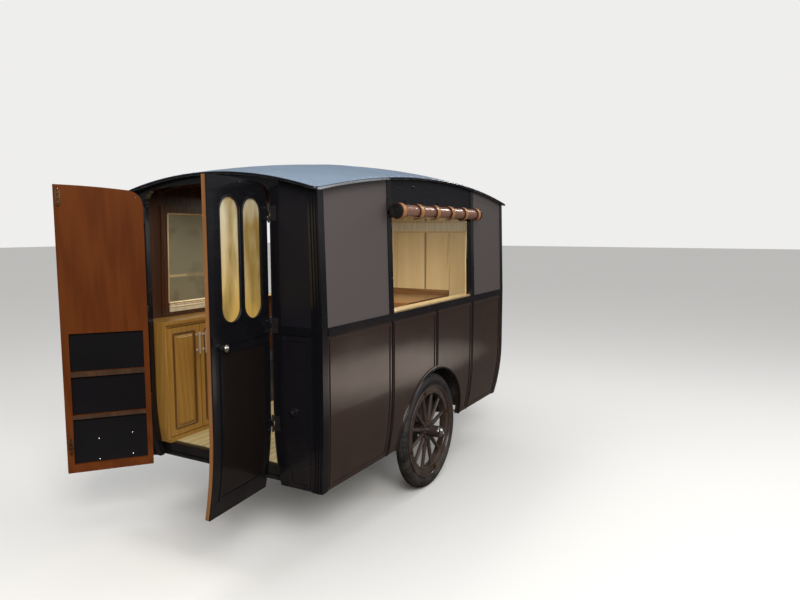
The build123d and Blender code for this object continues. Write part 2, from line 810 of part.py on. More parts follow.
# Kitchen cabinet with its two doors, on the left wall
board_inner = side_form(-wall - cabinet_board) & end_form(-wall - cabinet_board)
carcass_top = cabinet_top - counter_top_board
cabinet = block(cabinet_rear, cabinet_front, cabinet_face_y, far, floor_top, carcass_top) & inside
hollow_x = (cabinet_rear + cabinet_board, cabinet_front - cabinet_board)
hollow_z = (floor_top + cabinet_board, carcass_top)
hollow = block(*hollow_x, cabinet_face_y + cabinet_door_thickness, far, *hollow_z) & board_inner
cabinet -= hollow
face_z = (cabinet_door_base, carcass_top - cabinet_board)
cabinet -= block(*hollow_x, cabinet_face_y - overlap, cabinet_face_y + cabinet_door_thickness, *face_z)
counter = block(
    cabinet_rear,
    cabinet_front + counter_lip,
    cabinet_face_y - counter_lip,
    far,
    carcass_top,
    cabinet_top,
)
shelf_z = (face_z[0] + face_z[1]) / 2
shelf_levels = (shelf_z, shelf_z + shelf_thickness)
shelf = block(*hollow_x, cabinet_face_y + cabinet_door_thickness + shelf_setback, far, *shelf_levels) & inside
cabinet = cabinet + (counter & inside) + shelf
cabinet_middle = (hollow_x[0] + hollow_x[1]) / 2
cabinet_pin_y = cabinet_face_y + cabinet_door_thickness / 2
door_z = (face_z[0] + cabinet_door_gap, face_z[1] - cabinet_door_gap)


def cabinet_door(edge_x, toward):
    """An inset door with a sunk border round its raised panel, and its pin place."""
    pin_x = edge_x + toward * (cabinet_door_gap + cabinet_door_thickness / 2)
    free_x = cabinet_middle - toward * cabinet_door_gap / 2
    x0, x1 = min(pin_x, free_x), max(pin_x, free_x)
    y0, y1 = cabinet_face_y, cabinet_face_y + cabinet_door_thickness
    door = block(x0, x1, y0, y1, *door_z) + tube_z(pin_x, cabinet_pin_y, cabinet_door_thickness / 2, *door_z)
    m = cabinet_panel_margin
    ring = block(x0 + m, x1 - m, y0, y0 + cabinet_panel_sunk, door_z[0] + m, door_z[1] - m)
    m += cabinet_panel_border
    ring -= block(x0 + m, x1 - m, y0, y0 + cabinet_panel_sunk, door_z[0] + m, door_z[1] - m)
    door -= ring
    door -= tube_z(pin_x, cabinet_pin_y, pin_radius + pin_clearance, 0, far)
    return door, pin_x


rear_door, rear_pin = cabinet_door(hollow_x[0], 1)
front_door, front_pin = cabinet_door(hollow_x[1], -1)
low_pin = (face_z[0] - cabinet_pin_seat, door_z[0] + cabinet_pin_bite)
top_pin = (door_z[1] - cabinet_pin_bite, face_z[1] + cabinet_pin_seat)
for pin_x in (rear_pin, front_pin):
    cabinet += tube_z(pin_x, cabinet_pin_y, pin_radius, *low_pin)
    cabinet += tube_z(pin_x, cabinet_pin_y, pin_radius, *top_pin)
save("kitchen_cabinet", cabinet)
save("cabinet_door_rear", rear_door)
save("cabinet_door_front", front_door)

# Front counter and the wall mirror
counter_box = block(front_counter_rear, far, front_counter_right, far, floor_top, front_counter_top) & inside
front_hollow = block(
    front_counter_rear + cabinet_board,
    far,
    front_counter_right + cabinet_board,
    far,
    floor_top + cabinet_board,
    front_counter_top - counter_top_board,
)
housings = housing_form + across(housing_form)
save("front_counter", counter_box - (front_hollow & board_inner) - housings)

mirror_bay = block(mirror_rear, mirror_front, 0, far, mirror_base, mirror_top)
glass_bay = block(
    mirror_rear + mirror_frame_width,
    mirror_front - mirror_frame_width,
    0,
    far,
    mirror_base + mirror_rail_height,
    mirror_top - mirror_frame_width,
)
save("mirror_frame", (side_inner - side_form(-wall - mirror_frame_thickness)) & (mirror_bay - glass_bay))
save("mirror_glass", (side_inner - side_form(-wall - mirror_glass_thickness)) & glass_bay)

# Rolled side curtains and their straps
roll = tube_x(roll_y, roll_height, roll_radius, roll_rear, roll_front)
pair("curtain_rolls", roll)
straps = []
tail_base = roll_height + strap_tail_base
tail_top = roll_height + strap_tail_top
for index in range(strap_count):
    x0 = strap_first + index * strap_pitch - strap_width / 2
    x1 = x0 + strap_width
    loop = tube_x(roll_y, roll_height, roll_radius + strap_thickness, x0, x1)
    loop -= tube_x(roll_y, roll_height, roll_radius, x0, x1)
    over_post = x0 < window_rear or x1 > window_front
    proud = post_proud if over_post else 0
    lane = block(x0, x1, roll_y, 0, tail_base, tail_top)
    tail = (side_form(proud + strap_thickness) - side_form(proud)) & lane
    join = block(x0, x1, roll_y + roll_radius, 0, tail_base, tail_base + strap_thickness)
    straps.append(loop + (join - side_form(proud)) + tail)
pair("curtain_straps", *straps)
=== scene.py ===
"""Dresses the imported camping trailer: paint, cloth, boards, hardware, tyres and a plain studio.

Places are in metres with x = 0 at mid-body, y = 0 on the centreline and z = 0 on the ground, and
at() turns them into the frame. Door pieces are placed by their distance from the hinge.
"""

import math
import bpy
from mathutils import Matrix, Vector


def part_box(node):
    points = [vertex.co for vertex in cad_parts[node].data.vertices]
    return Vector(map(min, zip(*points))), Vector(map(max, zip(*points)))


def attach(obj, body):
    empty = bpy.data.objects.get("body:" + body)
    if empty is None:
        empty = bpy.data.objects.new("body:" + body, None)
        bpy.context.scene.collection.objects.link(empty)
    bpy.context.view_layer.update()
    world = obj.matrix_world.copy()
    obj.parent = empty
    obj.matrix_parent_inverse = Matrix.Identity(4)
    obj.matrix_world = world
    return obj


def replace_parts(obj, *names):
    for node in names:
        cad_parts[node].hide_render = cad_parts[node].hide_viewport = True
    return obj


bl_info = {
    "name": "Camping Trailer Dressing",
    "version": (1, 0, 0),
    "blender": (4, 5, 0),
    "location": "3D View > Sidebar > Trailer",
    "description": "Finishes and fittings for a two-wheel camping trailer of about 1915",
    "category": "Object",
}

import bmesh
import bpy
from bpy.props import FloatProperty, FloatVectorProperty, IntProperty, PointerProperty
from mathutils import Matrix, Vector, noise

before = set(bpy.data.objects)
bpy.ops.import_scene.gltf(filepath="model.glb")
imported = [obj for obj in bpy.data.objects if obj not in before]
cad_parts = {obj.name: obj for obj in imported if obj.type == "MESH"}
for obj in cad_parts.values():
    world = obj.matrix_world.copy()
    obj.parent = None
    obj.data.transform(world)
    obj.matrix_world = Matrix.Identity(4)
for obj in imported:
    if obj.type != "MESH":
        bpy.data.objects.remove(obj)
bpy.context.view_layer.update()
BODY = "wagon_body"

# Form of the body, in metres, read from the frame where a node's box gives it
ROOF_LOW, ROOF_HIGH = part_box("roof")
BELT_LOW, BELT_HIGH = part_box("belt_rail")
MIDDLE_X = (ROOF_LOW[0] + ROOF_HIGH[0]) / 2
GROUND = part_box("tyre_right")[0][2]
HALF_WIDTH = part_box("upper_rear_panels")[1][1]
BELT_PROUD = 0.007
HALF_LENGTH = (BELT_HIGH[0] - BELT_LOW[0]) / 2 - BELT_PROUD
BELT_TOP = BELT_HIGH[2] - GROUND
BELT_BOTTOM = BELT_LOW[2] - GROUND
ROOF_HALF_LENGTH = (ROOF_HIGH[0] - ROOF_LOW[0]) / 2
ROOF_HALF_WIDTH = ROOF_HIGH[1]
CROWN = ROOF_HIGH[2] - GROUND
WALL = 0.030
ROOF_THICKNESS = 0.014
SIDE_RISE = 0.118
END_RISE = 0.100
EAVE = CROWN - SIDE_RISE - END_RISE
SIDE_LEAN = 0.020
TUCK_START = 0.780
WALL_FOOT = 0.361
SIDE_TUCK = 0.046
END_TUCK = 0.045
SIDE_FOOT = 0.364
FLOOR_TOP = 0.450
PANEL_SEAMS = (-0.562, 0.030, 0.630)
WINDOW = (-0.550, 0.612, 1.233, 1.800)
ARCH_X, ARCH_Z, ARCH_RADIUS = 0.025, 0.330, 0.465
SNAPS = (
    (-0.443, 1.963, 0.007),
    (-0.267, 1.979, 0.013),
    (-0.047, 1.985, 0.007),
    (0.210, 1.992, 0.007),
    (0.410, 1.961, 0.006),
    (0.569, 1.968, 0.006),
    (-0.573, 1.665, 0.007),
    (-0.562, 1.434, 0.007),
    (0.646, 1.657, 0.007),
    (0.658, 1.435, 0.007),
)
SIDES = (("right", -1), ("left", 1))
CORNER_X = 1.238
JAMB_BREAKS = (0.440, 0.668, 0.758, 1.185, 1.275, 1.756, 1.846, 1.880)

# Curtains and their straps
FIRST_STRAP = -0.580
STRAP_PITCH = 0.221
STRAP_COUNT = 6
CLOTH_THICKNESS = 0.0022

# Cabin, counter and floor
LINING_HALF_LENGTH = 1.224
LINING_REACH = 0.64
LINING_STEP = 0.830
HOUSING_ENDS = (-0.385, 0.440)
BATTEN_LEVELS = (1.700, 1.784)
BATTEN_PLACES = (-0.60, -0.22, 0.29, 0.60)
BOARD_HALF_WIDTH = 0.62
UPSTAND_HEIGHT = 0.040
BOARD_ENDS = (-1.155, 1.175)
HOUSING_GAP = (-0.450, 0.505)

# Wheels: each bead has its radius, its place along the axle, its thickness and its steps
WHEEL_X, WHEEL_TRACK, WHEEL_RADIUS = -0.032, 0.651, 0.381
TYRE_SECTION = 0.038
SPOKES = 12
HUB_BOLT_CIRCLE = 0.054
FELLOE_BOLT_CIRCLE = 0.272
RIM_BEADS = (
    (0.3035, -0.029, 0.0042, 8),
    (0.3035, 0.029, 0.0042, 8),
    (0.253, -0.0235, 0.0025, 6),
    (0.253, 0.0235, 0.0025, 6),
)

# Springs, frame, drawbar and stand
SPRING_HALF_LENGTH = 0.388
SPRING_CLIP_X = 0.20
U_BOLT_REACH = 0.027
CROSS_MEMBER_PLACES = (-1.0, 0.62, 1.05)
COUPLING_BOLTS = (-0.205, -0.165, -0.130)
RAIL_Y = 0.470
DRAWBAR_SPREAD = 0.470 / 1.400
STAND_X = -0.380
SILL_BOARD_REACH = 0.56
SILL_BOARD_DROP = 0.018

# A painted pool of light on the studio's floor, which only reflections and bounced light see
PAINTED_POOL_CENTRE = (1.0, -2.9, 0.0)
PAINTED_POOL_REACH = (2.6, 1.05, 1.0)

# Camera: its place, and its turn and tilt in degrees
CAMERA_PLACE = (-3.8432, -2.5687, 1.7208)
CAMERA_YAW = 29.1165
CAMERA_PITCH = -6.1877

# Doors: widths run from the hinge line and heights from the ground
HINGE_X = -1.268
DOOR_WIDTH = 0.457
HINGE_LEVELS = (0.713, 1.230, 1.801)
PANE_CENTRES = (0.133, 0.304)
PANE_WIDTH = 0.141
PANE_LEVELS = (1.285, 1.874)
DOOR_FIELD = ((0.056, 0, 0.454), (0.389, 0, 1.146))
POCKETS = ((0.405, 0.655), (0.678, 0.896), (0.925, 1.142))
POCKET_STILES = (0.0335, 0.0415)
BOLT_LEVELS = (0.505, 1.892)
KNOB = (0.382, 0.0, 1.175)
PORT = (-0.514, 0.791)

# For each door its hinge across, the way it runs from there when closed, how far it is open and its body
DOORS = {
    "right": (-0.375, 1, 96.0, "rear_door_right"),
    "left": (0.545, -1, -129.0, "rear_door_left"),
}


def at(x, y, z):
    """A place on the trailer as a point of the frame."""
    return Vector((MIDDLE_X + x, y, GROUND + z))


def tucked(z, depth):
    """How far a wall has come in at a height, below the line where its tuck starts."""
    drop = max(0.0, TUCK_START - z)
    reach = TUCK_START - WALL_FOOT
    radius = (depth**2 + reach**2) / (2 * depth)
    return radius - math.sqrt(radius**2 - drop**2)


def side_at(z):
    """The side wall's outer face at a height."""
    lean = SIDE_LEAN * max(0.0, (z - BELT_TOP) / (EAVE - BELT_TOP))
    return HALF_WIDTH - lean - tucked(z, SIDE_TUCK)


def end_at(z):
    """The end wall's outer face at a height."""
    return HALF_LENGTH - tucked(z, END_TUCK)


def arc_radius(half_span, rise):
    return (half_span**2 + rise**2) / (2 * rise)


def roof_at(x, y, drop=0.0):
    """The roof's outer surface, moved down by a drop."""
    end_curve = arc_radius(ROOF_HALF_WIDTH, END_RISE)
    side_curve = arc_radius(ROOF_HALF_LENGTH, SIDE_RISE)
    section = -end_curve + math.sqrt(end_curve**2 - y**2)
    radius = side_curve + section - drop
    return CROWN - side_curve + math.sqrt(radius**2 - x**2)


def door_place(side):
    """The matrix of a door: x runs from its hinge, y out of its outer face and z up."""
    hinge_y, toward, angle, _ = DOORS[side]
    turn = Matrix.Rotation(math.radians(angle), 4, "Z")
    closed = Matrix(((0, -1, 0, -HALF_LENGTH - HINGE_X), (toward, 0, 0, 0), (0, 0, 1, 0), (0, 0, 0, 1)))
    return Matrix.Translation(at(HINGE_X, hinge_y, 0)) @ turn @ closed


# Mesh helpers
def facing(point, normal):
    """A matrix at a point whose z runs along a normal."""
    turn = Vector(normal).to_track_quat("Z", "Y").to_matrix().to_4x4()
    return Matrix.Translation(point) @ turn


def on_circle(radius, angle, along=0.0):
    """A point of a circle about z."""
    return Vector((radius * math.cos(angle), radius * math.sin(angle), along))


def add_box(bm, low, high, ease=0.0, place=Matrix()):
    """A box between two corners with eased edges."""
    low = Vector(low)
    high = Vector(high)
    size = Matrix.Diagonal((*(high - low), 1))
    made = bmesh.ops.create_cube(bm, size=1.0, matrix=Matrix.Translation((low + high) / 2) @ size)
    verts = made["verts"]
    if ease:
        edges = {edge for vert in verts for edge in vert.link_edges}
        eased = bmesh.ops.bevel(bm, geom=list(edges), offset=ease, segments=2, affect="EDGES", profile=0.6)
        eased_verts = {vert for face in eased["faces"] for vert in face.verts}
        verts = list(eased_verts | {vert for vert in verts if vert.is_valid})
    bmesh.ops.transform(bm, matrix=place, verts=verts)


def add_lathe(bm, profile, place, steps=24):
    """A turned form: the profile holds (along, radius) pairs and turns about the matrix's z."""
    rings = []
    for along, radius in profile:
        count = steps if radius > 1e-6 else 1
        points = [on_circle(radius, 2 * math.pi * step / steps, along) for step in range(count)]
        rings.append([bm.verts.new(place @ point) for point in points])
    for low, high in zip(rings, rings[1:]):
        for step in range(steps):
            corners = [low[step % len(low)], low[(step + 1) % len(low)]]
            corners += [high[(step + 1) % len(high)], high[step % len(high)]]
            corners = list(dict.fromkeys(corners))
            if len(corners) > 2:
                bm.faces.new(corners)
    for ring in (rings[0], rings[-1]):
        if len(ring) > 2:
            bm.faces.new(ring)


def add_dome(bm, point, normal, radius, height, steps=10):
    """A round-headed screw, nail or rivet."""
    arc = [(height * math.sin(t), radius * math.cos(t)) for t in (0.0, 0.5, 1.0)]
    add_lathe(bm, [(-0.002, radius), *arc, (height, 0.0)], facing(point, normal), steps)


def add_nut(bm, place, radius, crown, height, foot=0.001):
    """A hexagon nut or bolt head standing on the matrix's place, with its crown eased."""
    add_lathe(bm, [(-foot, radius), (height - 0.001, radius), (height, crown), (height, 0)], place, 6)


def sweep(bm, stations, section, closed=False):
    """Carries a section of (across, up) pairs along stations of (point, across, up)."""
    rings = [[bm.verts.new(p + across * s + up * u) for s, u in section] for p, across, up in stations]
    pairs = list(zip(rings, rings[1:]))
    if closed:
        pairs.append((rings[-1], rings[0]))
    count = len(section)
    for low, high in pairs:
        for i in range(count):
            bm.faces.new((low[i], low[(i + 1) % count], high[(i + 1) % count], high[i]))
    if not closed:
        bm.faces.new(rings[0])
        bm.faces.new(rings[-1])


def steps_round(steps):
    return [2 * math.pi * step / steps for step in range(steps)]


def round_section(radius, steps=8):
    return [(radius * math.cos(t), radius * math.sin(t)) for t in steps_round(steps)]


def half_round(width, height, steps=6):
    """A moulding's section: flat below and round on top."""
    arc = [math.pi * step / steps for step in range(steps + 1)]
    crown = [(width / 2 * math.cos(t), height * math.sin(t)) for t in arc]
    return [(width / 2, -0.002), *crown, (-width / 2, -0.002)]


def flat_section(width, height, ease=0.001):
    """A strip's section with eased corners, sunk a little at its foot."""
    half = width / 2
    top = [(half, height - ease), (half - ease, height), (-half + ease, height), (-half, height - ease)]
    return [(half, -0.001), *top, (-half, -0.001)]


def add_rod(bm, points, radius, steps=10, closed=False):
    """A round rod along points."""
    points = [Vector(point) for point in points]
    stations = []
    across = None
    for i, point in enumerate(points):
        before = points[i - 1] if i or closed else point
        after = points[(i + 1) % len(points)] if i + 1 < len(points) or closed else point
        run = (after - before).normalized()
        if across is None:
            across = run.orthogonal().normalized()
        across = (across - run * across.dot(run)).normalized()
        stations.append((point, across, run.cross(across)))
    sweep(bm, stations, round_section(radius, steps), closed)


def add_shell(bm, surface, us, vs, thickness, keep=None):
    """A sheet over a surface function of two values, given a thickness along its normals."""
    grid = [[bm.verts.new(surface(u, v)) for u in us] for v in vs]
    faces = []
    for j in range(len(vs) - 1):
        for i in range(len(us) - 1):
            if keep is None or keep((us[i] + us[i + 1]) / 2, (vs[j] + vs[j + 1]) / 2):
                faces.append(bm.faces.new((grid[j][i], grid[j][i + 1], grid[j + 1][i + 1], grid[j + 1][i])))
    loose = [vert for row in grid for vert in row if not vert.link_faces]
    bmesh.ops.delete(bm, geom=loose, context="VERTS")
    bmesh.ops.solidify(bm, geom=faces, thickness=thickness)


def spread(low, high, count):
    return [low + (high - low) * i / (count - 1) for i in range(count)]


def piece(name, bm, finish, body=BODY, smooth=32.0):
    """Turns a mesh into a piece with a finish, riding on a body."""
    bmesh.ops.recalc_face_normals(bm, faces=bm.faces)
    mesh = bpy.data.meshes.new(name)
    bm.to_mesh(mesh)
    bm.free()
    mesh.materials.append(finish_named(finish))
    for polygon in mesh.polygons:
        polygon.use_smooth = True
    mesh.set_sharp_from_angle(angle=math.radians(smooth))
    obj = bpy.data.objects.new(name, mesh)
    bpy.context.scene.collection.objects.link(obj)
    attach(obj, body)
    return obj


# Shader node helpers and the shared groups
def add_node(tree, kind, sockets=None, **settings):
    """A node with its settings, and with each given socket linked or set."""
    node = tree.nodes.new(kind)
    for key, value in settings.items():
        setattr(node, key, value)
    for key, value in (sockets or {}).items():
        if isinstance(value, bpy.types.NodeSocket):
            tree.links.new(value, node.inputs[key])
        else:
            node.inputs[key].default_value = value
    return node


def math_node(tree, operation, first, second=0.0, clamp=False):
    node = add_node(tree, "ShaderNodeMath", {0: first, 1: second}, operation=operation, use_clamp=clamp)
    return node.outputs[0]


def mix_colour(tree, factor, first, second):
    """The first colour where the factor is 0 and the second where it is 1."""
    sockets = {0: factor, 6: first, 7: second}
    return add_node(tree, "ShaderNodeMix", sockets, data_type="RGBA").outputs[2]


def map_range(tree, value, low, high, to_low=0.0, to_high=1.0):
    sockets = {"Value": value, "From Min": low, "From Max": high, "To Min": to_low, "To Max": to_high}
    return add_node(tree, "ShaderNodeMapRange", sockets, clamp=True).outputs[0]


def shader_group(name, inputs, outputs, build):
    """A node group with named sockets, built once."""
    tree = bpy.data.node_groups.get(name)
    if tree:
        return tree
    tree = bpy.data.node_groups.new(name, "ShaderNodeTree")
    for label, kind, default in inputs:
        socket = tree.interface.new_socket(name=label, in_out="INPUT", socket_type=kind)
        if default is not None:
            socket.default_value = default
    for label, kind in outputs:
        tree.interface.new_socket(name=label, in_out="OUTPUT", socket_type=kind)
    start = tree.nodes.new("NodeGroupInput").outputs
    end = tree.nodes.new("NodeGroupOutput").inputs
    for label, value in build(tree, start).items():
        tree.links.new(value, end[label])
    return tree


VECTOR = "NodeSocketVector"
FLOAT = "NodeSocketFloat"
COLOUR = "NodeSocketColor"


def cloth_grain():
    """Pressed grain of coated cloth: pebbles crossed by a fine weave."""

    def build(tree, start):
        pebbles = add_node(
            tree, "ShaderNodeTexVoronoi", {"Vector": start["Vector"], "Scale": start["Scale"]}, feature="F1"
        )
        weave_place = add_node(
            tree, "ShaderNodeVectorMath", {0: start["Vector"], 1: (1, 1, 5)}, operation="MULTIPLY"
        )
        fine = math_node(tree, "MULTIPLY", start["Scale"], 0.4)
        weave = add_node(
            tree, "ShaderNodeTexNoise", {"Vector": weave_place.outputs[0], "Scale": fine, "Detail": 3.0}
        )
        broad = add_node(
            tree, "ShaderNodeTexNoise", {"Vector": start["Vector"], "Scale": 3.0, "Detail": 4.0}
        )
        height = math_node(tree, "ADD", pebbles.outputs["Distance"], weave.outputs["Fac"])
        patch = math_node(tree, "MULTIPLY", broad.outputs["Fac"], 0.6)
        shade = math_node(tree, "ADD", math_node(tree, "MULTIPLY", height, 0.55), patch)
        factor = map_range(tree, shade, 0.45, 1.15)
        return {"Color": mix_colour(tree, factor, start["Dark"], start["Light"]), "Height": height}

    inputs = [
        ("Vector", VECTOR, None), ("Scale", FLOAT, 700.0), ("Dark", COLOUR, None), ("Light", COLOUR, None)
    ]
    return shader_group("Cloth Grain", inputs, [("Color", COLOUR), ("Height", FLOAT)], build)


def wood_figure():
    """Long streaks, darker rings and pores of sawn wood, along the vector's z."""

    def build(tree, start):
        stretched = add_node(
            tree, "ShaderNodeVectorMath", {0: start["Vector"], 1: (1.0, 1.0, 0.06)}, operation="MULTIPLY"
        )
        place = stretched.outputs[0]
        broad = add_node(
            tree,
            "ShaderNodeTexNoise",
            {"Vector": place, "Scale": start["Scale"], "Detail": 5.0, "Roughness": 0.6, "Distortion": 0.8},
        )
        rings = add_node(
            tree,
            "ShaderNodeTexWave",
            {
                "Vector": place,
                "Scale": start["Scale"],
                "Distortion": 5.0,
                "Detail": 2.0,
                "Detail Scale": 1.4,
            },
            wave_type="BANDS",
            bands_direction="DIAGONAL",
        )
        fibre_scale = math_node(tree, "MULTIPLY", start["Scale"], 14.0)
        fibres = add_node(tree, "ShaderNodeTexNoise", {"Vector": place, "Scale": fibre_scale, "Detail": 2.0})
        mixed = math_node(tree, "MULTIPLY", rings.outputs["Fac"], 0.35)
        mixed = math_node(tree, "ADD", mixed, math_node(tree, "MULTIPLY", broad.outputs["Fac"], 0.6))
        mixed = math_node(tree, "ADD", mixed, math_node(tree, "MULTIPLY", fibres.outputs["Fac"], 0.35))
        factor = map_range(tree, mixed, 0.3, 0.95)
        streaked = mix_colour(tree, factor, start["Dark"], start["Light"])
        return {"Color": streaked, "Height": fibres.outputs["Fac"]}

    inputs = [
        ("Vector", VECTOR, None), ("Scale", FLOAT, 12.0), ("Dark", COLOUR, None), ("Light", COLOUR, None)
    ]
    return shader_group("Wood Figure", inputs, [("Color", COLOUR), ("Height", FLOAT)], build)


def board_joints():
    """Joints between boards laid side by side along the vector's x, and a shade for each board."""

    def build(tree, start):
        across = add_node(tree, "ShaderNodeSeparateXYZ", {0: start["Vector"]}).outputs[0]
        boards = math_node(tree, "DIVIDE", across, start["Width"])
        offset = math_node(tree, "SUBTRACT", math_node(tree, "FRACT", boards), 0.5)
        edge = math_node(tree, "MULTIPLY", math_node(tree, "ABSOLUTE", offset), 2.0)
        line = map_range(tree, edge, start["Joint"], 1.0)
        number = math_node(tree, "FLOOR", boards)
        shade = add_node(tree, "ShaderNodeTexWhiteNoise", {"W": number}, noise_dimensions="1D")
        return {"Line": line, "Shade": shade.outputs["Value"]}

    inputs = [("Vector", VECTOR, None), ("Width", FLOAT, 0.07), ("Joint", FLOAT, 0.95)]
    return shader_group("Board Joints", inputs, [("Line", FLOAT), ("Shade", FLOAT)], build)


def road_dust():
    """Dust that thickens towards the ground, in patches."""

    def build(tree, start):
        height = add_node(tree, "ShaderNodeSeparateXYZ", {0: start["Vector"]}).outputs[2]
        fade = map_range(tree, height, GROUND, start["Top"], 1.0, 0.0)
        patches = add_node(
            tree, "ShaderNodeTexNoise", {"Vector": start["Vector"], "Scale": 9.0, "Detail": 6.0}
        )
        spots = map_range(tree, patches.outputs["Fac"], 0.38, 0.72)
        mask = math_node(tree, "MULTIPLY", math_node(tree, "MULTIPLY", fade, spots), start["Amount"], True)
        return {"Color": mix_colour(tree, mask, start["Color"], start["Dust"]), "Mask": mask}

    inputs = [
        ("Vector", VECTOR, None),
        ("Color", COLOUR, None),
        ("Dust", COLOUR, (0.25, 0.2, 0.15, 1.0)),
        ("Top", FLOAT, 0.4),
        ("Amount", FLOAT, 0.5),
    ]
    return shader_group("Road Dust", inputs, [("Color", COLOUR), ("Mask", FLOAT)], build)


def fine_scuffs():
    """Thin rubbed streaks and dull patches on paint and metal."""

    def build(tree, start):
        stretched = add_node(
            tree, "ShaderNodeVectorMath", {0: start["Vector"], 1: (0.25, 1.0, 1.7)}, operation="MULTIPLY"
        )
        streak_sockets = {"Vector": stretched.outputs[0], "Scale": start["Scale"], "Detail": 8.0}
        streaks = add_node(tree, "ShaderNodeTexNoise", streak_sockets)
        patches = add_node(
            tree, "ShaderNodeTexNoise", {"Vector": start["Vector"], "Scale": 2.5, "Detail": 3.0}
        )
        fine = map_range(tree, streaks.outputs["Fac"], 0.52, 0.75)
        broad = map_range(tree, patches.outputs["Fac"], 0.35, 0.75)
        mask = math_node(tree, "MULTIPLY", math_node(tree, "MULTIPLY", fine, broad), start["Amount"], True)
        return {"Mask": mask, "Patches": broad}

    inputs = [("Vector", VECTOR, None), ("Scale", FLOAT, 45.0), ("Amount", FLOAT, 0.6)]
    return shader_group("Fine Scuffs", inputs, [("Mask", FLOAT), ("Patches", FLOAT)], build)


def panel_field():
    """A mask of a rectangle on a door, between two corners measured from the hinge and the ground."""

    def build(tree, start):
        offset = add_node(
            tree, "ShaderNodeVectorMath", {0: start["Vector"], 1: start["Hinge"]}, operation="SUBTRACT"
        )
        along = add_node(
            tree, "ShaderNodeVectorMath", {0: offset.outputs[0], 1: start["Along"]}, operation="DOT_PRODUCT"
        )
        height = add_node(tree, "ShaderNodeSeparateXYZ", {0: offset.outputs[0]}).outputs[2]
        low = add_node(tree, "ShaderNodeSeparateXYZ", {0: start["Low"]}).outputs
        high = add_node(tree, "ShaderNodeSeparateXYZ", {0: start["High"]}).outputs
        inside = math_node(tree, "GREATER_THAN", along.outputs["Value"], low[0])
        for value, limit, test in (
            (along.outputs["Value"], high[0], "LESS_THAN"),
            (height, low[2], "GREATER_THAN"),
            (height, high[2], "LESS_THAN"),
        ):
            inside = math_node(tree, "MULTIPLY", inside, math_node(tree, test, value, limit))
        return {"Mask": inside}

    inputs = [(label, VECTOR, None) for label in ("Vector", "Hinge", "Along", "Low", "High")]
    return shader_group("Panel Field", inputs, [("Mask", FLOAT)], build)


# Finishes
def opaque(colour):
    return (*colour[:3], 1.0)


def blank_finish(name):
    """A new material, its node tree, its shader and the piece's own coordinates."""
    material = bpy.data.materials.new(name)
    material.use_nodes = True
    tree = material.node_tree
    place = add_node(tree, "ShaderNodeTexCoord").outputs["Object"]
    return tree, tree.nodes["Principled BSDF"], place


def shaded(colour, factor, lift=0.0):
    """A colour made lighter or darker."""
    return (*(min(1.0, channel * factor + lift) for channel in colour[:3]), 1.0)


def add_group(tree, group, sockets):
    """The outputs of a shared group, with its named sockets linked or set."""
    return add_node(tree, "ShaderNodeGroup", sockets, node_tree=group).outputs


def raise_bumps(tree, shader, height, strength, distance):
    bump = add_node(tree, "ShaderNodeBump", {"Height": height, "Strength": strength, "Distance": distance})
    tree.links.new(bump.outputs[0], shader.inputs["Normal"])


def paint(name, colour, roughness, coat=0.0, ripple=0.0, dust=0.3, dust_top=0.7, worn=0.35, metallic=0.0):
    """Brushed or stoved paint with scuffs, a little ripple and road dust low down."""
    tree, shader, place = blank_finish(name)
    scuffs = add_group(tree, fine_scuffs(), {"Vector": place, "Amount": worn})
    colour = opaque(colour)
    rubbed = mix_colour(tree, scuffs["Mask"], colour, shaded(colour, 1.7, 0.02))
    dusty = add_group(
        tree, road_dust(), {"Vector": place, "Color": rubbed, "Top": GROUND + dust_top, "Amount": dust}
    )
    tree.links.new(dusty["Color"], shader.inputs["Base Color"])
    dulled = math_node(tree, "MULTIPLY", scuffs["Patches"], 0.08)
    dulled = math_node(tree, "ADD", dulled, math_node(tree, "MULTIPLY", dusty["Mask"], 0.5))
    dulled = math_node(tree, "ADD", dulled, math_node(tree, "MULTIPLY", scuffs["Mask"], 0.15))
    tree.links.new(math_node(tree, "ADD", dulled, roughness, True), shader.inputs["Roughness"])
    shader.inputs["Coat Weight"].default_value = coat
    shader.inputs["Coat Roughness"].default_value = 0.06
    shader.inputs["Metallic"].default_value = metallic
    if ripple:
        waves = add_node(tree, "ShaderNodeTexNoise", {"Vector": place, "Scale": 4.0, "Detail": 1.0})
        raise_bumps(tree, shader, waves.outputs["Fac"], ripple, 0.02)
    return tree


def door_paint(side):
    """Black round a dark brown lower field, for one rear door."""
    hinge_y, _, _, _ = DOORS[side]
    looks = bpy.context.scene.trailer_finishes
    tree = paint(f"door_paint_{side}", looks.black, 0.18, coat=0.3, ripple=0.12, dust=0.15)
    place = add_node(tree, "ShaderNodeTexCoord").outputs["Object"]
    along = door_place(side).to_3x3() @ Vector((1, 0, 0))
    field = add_group(
        tree,
        panel_field(),
        {
            "Vector": place,
            "Hinge": at(HINGE_X, hinge_y, 0),
            "Along": along,
            "Low": DOOR_FIELD[0],
            "High": DOOR_FIELD[1],
        },
    )
    shader = tree.nodes["Principled BSDF"]
    black = shader.inputs["Base Color"].links[0].from_socket
    brown = mix_colour(tree, field["Mask"], black, opaque(looks.door_field))
    tree.links.new(brown, shader.inputs["Base Color"])


